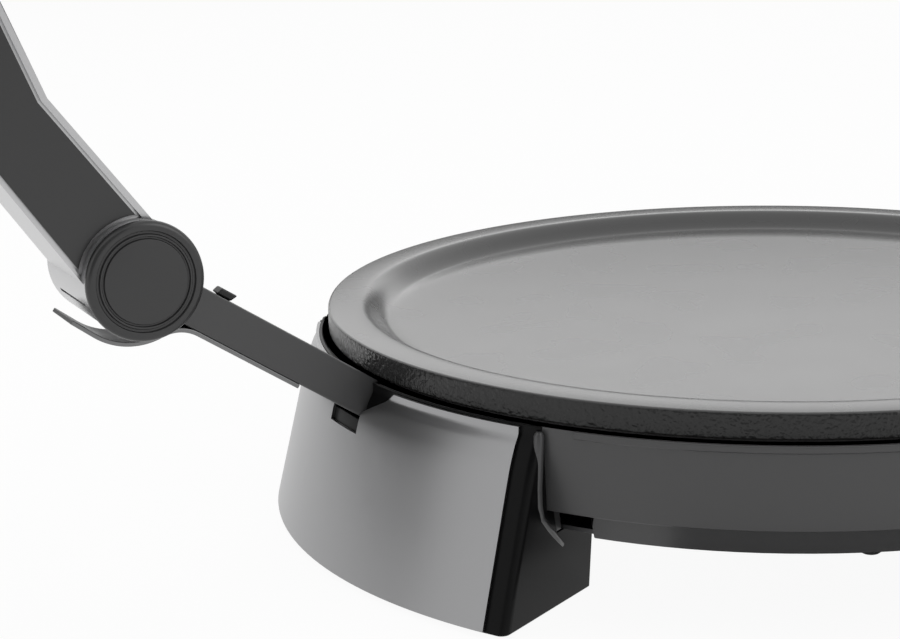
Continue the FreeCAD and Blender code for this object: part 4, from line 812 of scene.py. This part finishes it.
# Lower arm.
# A dark bar with an eye at the hinge, a dull steel strap bent round the barrel, a small black
# release tab in a slot, two washers and the bright hinge pin.
ARM_DARK = (0.064, 0.064, 0.065)
STRAP_STEEL = (0.2, 0.2, 0.202)
arm_dark = grain(surface("arm_dark", ARM_DARK, rough=0.3), 0.4, 0.004)
strap_steel = clouded(surface("strap_steel", STRAP_STEEL, metal=1.0, rough=0.34), 9.0, 0.28, 0.42)
lever_black = grain(surface("lever_black", (0.012, 0.012, 0.012), rough=0.4), 0.4, 0.006)
washer_plastic = grain(surface("washer_plastic", (0.6, 0.6, 0.58), rough=0.5), 0.4, 0.006)
finer_copy("lower_arm", arm_dark, 0.6)
finer_copy("arm_strap", strap_steel, 0.25)
finer_copy("release_lever", lever_black, 0.5)
finer_copy("hinge_washers", washer_plastic, 0.1)
finer_copy("hinge_shaft", bright_steel, 0.3)


# Upper arm.
# A silver casting of the arm and the hinge barrel, with recessed black panels on its sides and a
# cover over the channel in its under side.
ARM_SILVER = (0.5, 0.5, 0.505)
silver_arm = grain(surface("silver_arm", ARM_SILVER, metal=1.0, rough=0.28), 0.5, 0.003)
finer_copy("arm_housing", silver_arm, 0.0)
for node in ("arm_panel_left", "arm_panel_right"):
    finer_copy(node, trim_black, 0.0)
finer_copy("arm_cover", leg_black, 0.25)


# Hinge caps.
# Turned black caps on the barrel's ends, with a rounded edge and two fine grooves round a flat
# face; a plug holds each in the barrel.
HINGE_Y = 227.5
HINGE_Z = 103.5
BARREL_HALF_L = 20.0
CAP_T = 2.2
PLUG_R = 11.0
PLUG_L = 4.0
GROOVES = ((14.2, 0.6), (12.7, 0.45))
CAP_ROUND = 1.5
hinge_place = Matrix.Translation((0, plate_axis_y + HINGE_Y / 1000.0, HINGE_Z / 1000.0))
for name, node, side, cap_r in (("left_hinge_cap", "hinge_cap_left", -1.0, 17.5),
                                ("right_hinge_cap", "hinge_cap_right", 1.0, 16.4)):
    face_points = [(0.0, -PLUG_L, 0), (PLUG_R, -PLUG_L, 0.4), (PLUG_R, 0.0, 0), (cap_r, 0.0, 0.2),
                   (cap_r, CAP_T, CAP_ROUND)]
    for groove_r, groove_w in GROOVES:
        face_points += [(groove_r + groove_w, CAP_T, 0.12), (groove_r + groove_w / 2, CAP_T - 0.7, 0.1),
                        (groove_r - groove_w / 2, CAP_T - 0.7, 0.1), (groove_r - groove_w, CAP_T, 0.12)]
    face_points += [(0.0, CAP_T, 0)]
    cap_mesh = lathe(name, rounded(face_points, 4), 128, trim_black, 30.0)
    turn_out = Matrix.Rotation(math.pi / 2 * side, 4, "Y")
    stands_for(name, cap_mesh, node,
               hinge_place @ Matrix.Translation((side * BARREL_HALF_L / 1000.0, 0, 0)) @ turn_out)


# Lid.
# A domed shell of brushed steel turned on a lathe, a plain inner sheet, a black edge ring, and
# the black mount with two screws that joins it to the arm. It is made closed and set open.
OPEN_DEG = 112.0
LID_R = 141.0
LID_BOTTOM = 69.3
LID_TRIM_H = 3.0
LID_TRIM_W = 5.5
LID_WALL_H = 12.0
LID_ROUND = 10.0
LID_CROWN = 5.0
LID_T = 1.5
LINER_T = 1.2
MOUNT_FLAT_R = 26.0
LID_STEEL = (0.55, 0.55, 0.56)
LINER_ALUMINIUM = (0.7, 0.7, 0.71)
LID_SEGMENTS = 256
opened = hinge_place @ Matrix.Rotation(math.radians(-OPEN_DEG), 4, "X") @ hinge_place.inverted()
lid_place = opened @ Matrix.Translation((0, plate_axis_y, 0))
lid_steel = grain(surface("lid_steel", LID_STEEL, metal=1.0, rough=0.24), 0.5, 0.002, (1, 14, 14))
liner_aluminium = surface("liner_aluminium", LINER_ALUMINIUM, metal=1.0, rough=0.35)
clouded(liner_aluminium, 20.0, 0.3, 0.42)
wall_z = LID_BOTTOM + LID_TRIM_H
shoulder_z = wall_z + LID_WALL_H + LID_ROUND
top_z = shoulder_z + LID_CROWN


def dome(inset):
    points = []
    for k in range(13):
        a = math.radians(90.0 * k / 12)
        points.append((LID_R - LID_ROUND + (LID_ROUND - inset) * math.cos(a),
                       shoulder_z - LID_ROUND + (LID_ROUND - inset) * math.sin(a)))
    for k in range(1, 13):
        t = k / 12.0
        r = LID_R - LID_ROUND + (MOUNT_FLAT_R - LID_R + LID_ROUND) * t
        points.append((r, shoulder_z - inset + LID_CROWN * t))
    return points


shell_outline = [(LID_R - 0.15, wall_z), (LID_R, wall_z + 0.2)] + dome(0.0)
shell_outline += [(0.0, top_z), (0.0, top_z - LID_T)]
shell_outline += dome(LID_T)[::-1] + [(LID_R - LID_T, wall_z), (LID_R - 0.15, wall_z)]
stands_for("lid_dome", lathe("lid_dome", shell_outline, LID_SEGMENTS, lid_steel), "lid_shell",
           lid_place)
trim_in = LID_R - LID_TRIM_W
trim_outline = rounded([(trim_in, LID_BOTTOM + 1.0, 0), (trim_in, LID_BOTTOM, 0.6), (LID_R, LID_BOTTOM, 1.0),
                        (LID_R, wall_z, 0.3), (trim_in, wall_z, 0.3), (trim_in, LID_BOTTOM + 1.0, 0)])
stands_for("lid_edge_ring", lathe("lid_edge_ring", trim_outline, LID_SEGMENTS, leg_black), "lid_trim",
           lid_place)
liner_r = LID_R - LID_T - 0.3
liner_outline = rounded([(0.0, wall_z, 0), (liner_r, wall_z, 0.3), (liner_r, wall_z + LINER_T, 0.3),
                         (0.0, wall_z + LINER_T, 0)])
stands_for("lid_inner_sheet", lathe("lid_inner_sheet", liner_outline, LID_SEGMENTS, liner_aluminium),
           "lid_liner", lid_place)
finer_copy("lid_mount", leg_black, 0.5)
finer_copy("mount_screws", bright_steel, 0.3)


# Handle.
# A round black grip with grip rings that Geometry Nodes repeat along it, on two posts held by
# screws from inside the lid.
HANDLE_Z = 79.0
HANDLE_REACH = 31.0
GRIP_L = 124.0
GRIP_R = 9.0
GRIP_ROUND = 3.8
RING_COUNT = 15
RING_PITCH = 4.2
grip_outline = rounded([(0.0, -GRIP_L / 2, 0), (GRIP_R, -GRIP_L / 2, GRIP_ROUND),
                        (GRIP_R, GRIP_L / 2, GRIP_ROUND), (0.0, GRIP_L / 2, 0)], 8)
grip_mesh = lathe("grip_bar", [(max(r - 0.25, 0.0), z) for r, z in grip_outline], 72, leg_black, 35.0)
ring_outline = [(GRIP_R - 1.0, -1.1), (GRIP_R - 0.3, -1.0), (GRIP_R - 0.02, -0.5), (GRIP_R, 0.0),
                (GRIP_R - 0.02, 0.5), (GRIP_R - 0.3, 1.0), (GRIP_R - 1.0, 1.1)]
rings = repeated("grip_rings", lathe("one_ring", ring_outline, 72, leg_black, 35.0), leg_black, RING_COUNT,
                 pitch=(0.0, 0.0, RING_PITCH))
rings.transform(Matrix.Translation((0, 0, -RING_PITCH * (RING_COUNT - 1) / 2000.0)))
grip_y = plate_axis_y - (LID_R + HANDLE_REACH) / 1000.0
grip_place = (opened @ Matrix.Translation((0, grip_y, HANDLE_Z / 1000.0))
              @ Matrix.Rotation(math.pi / 2, 4, "Y"))
stands_for("handle_bar", merged("handle_bar", [grip_mesh, rings], leg_black), "handle_grip",
           grip_place)
finer_copy("handle_posts", leg_black, 0.3)
finer_copy("handle_screws", bright_steel, 0.3)
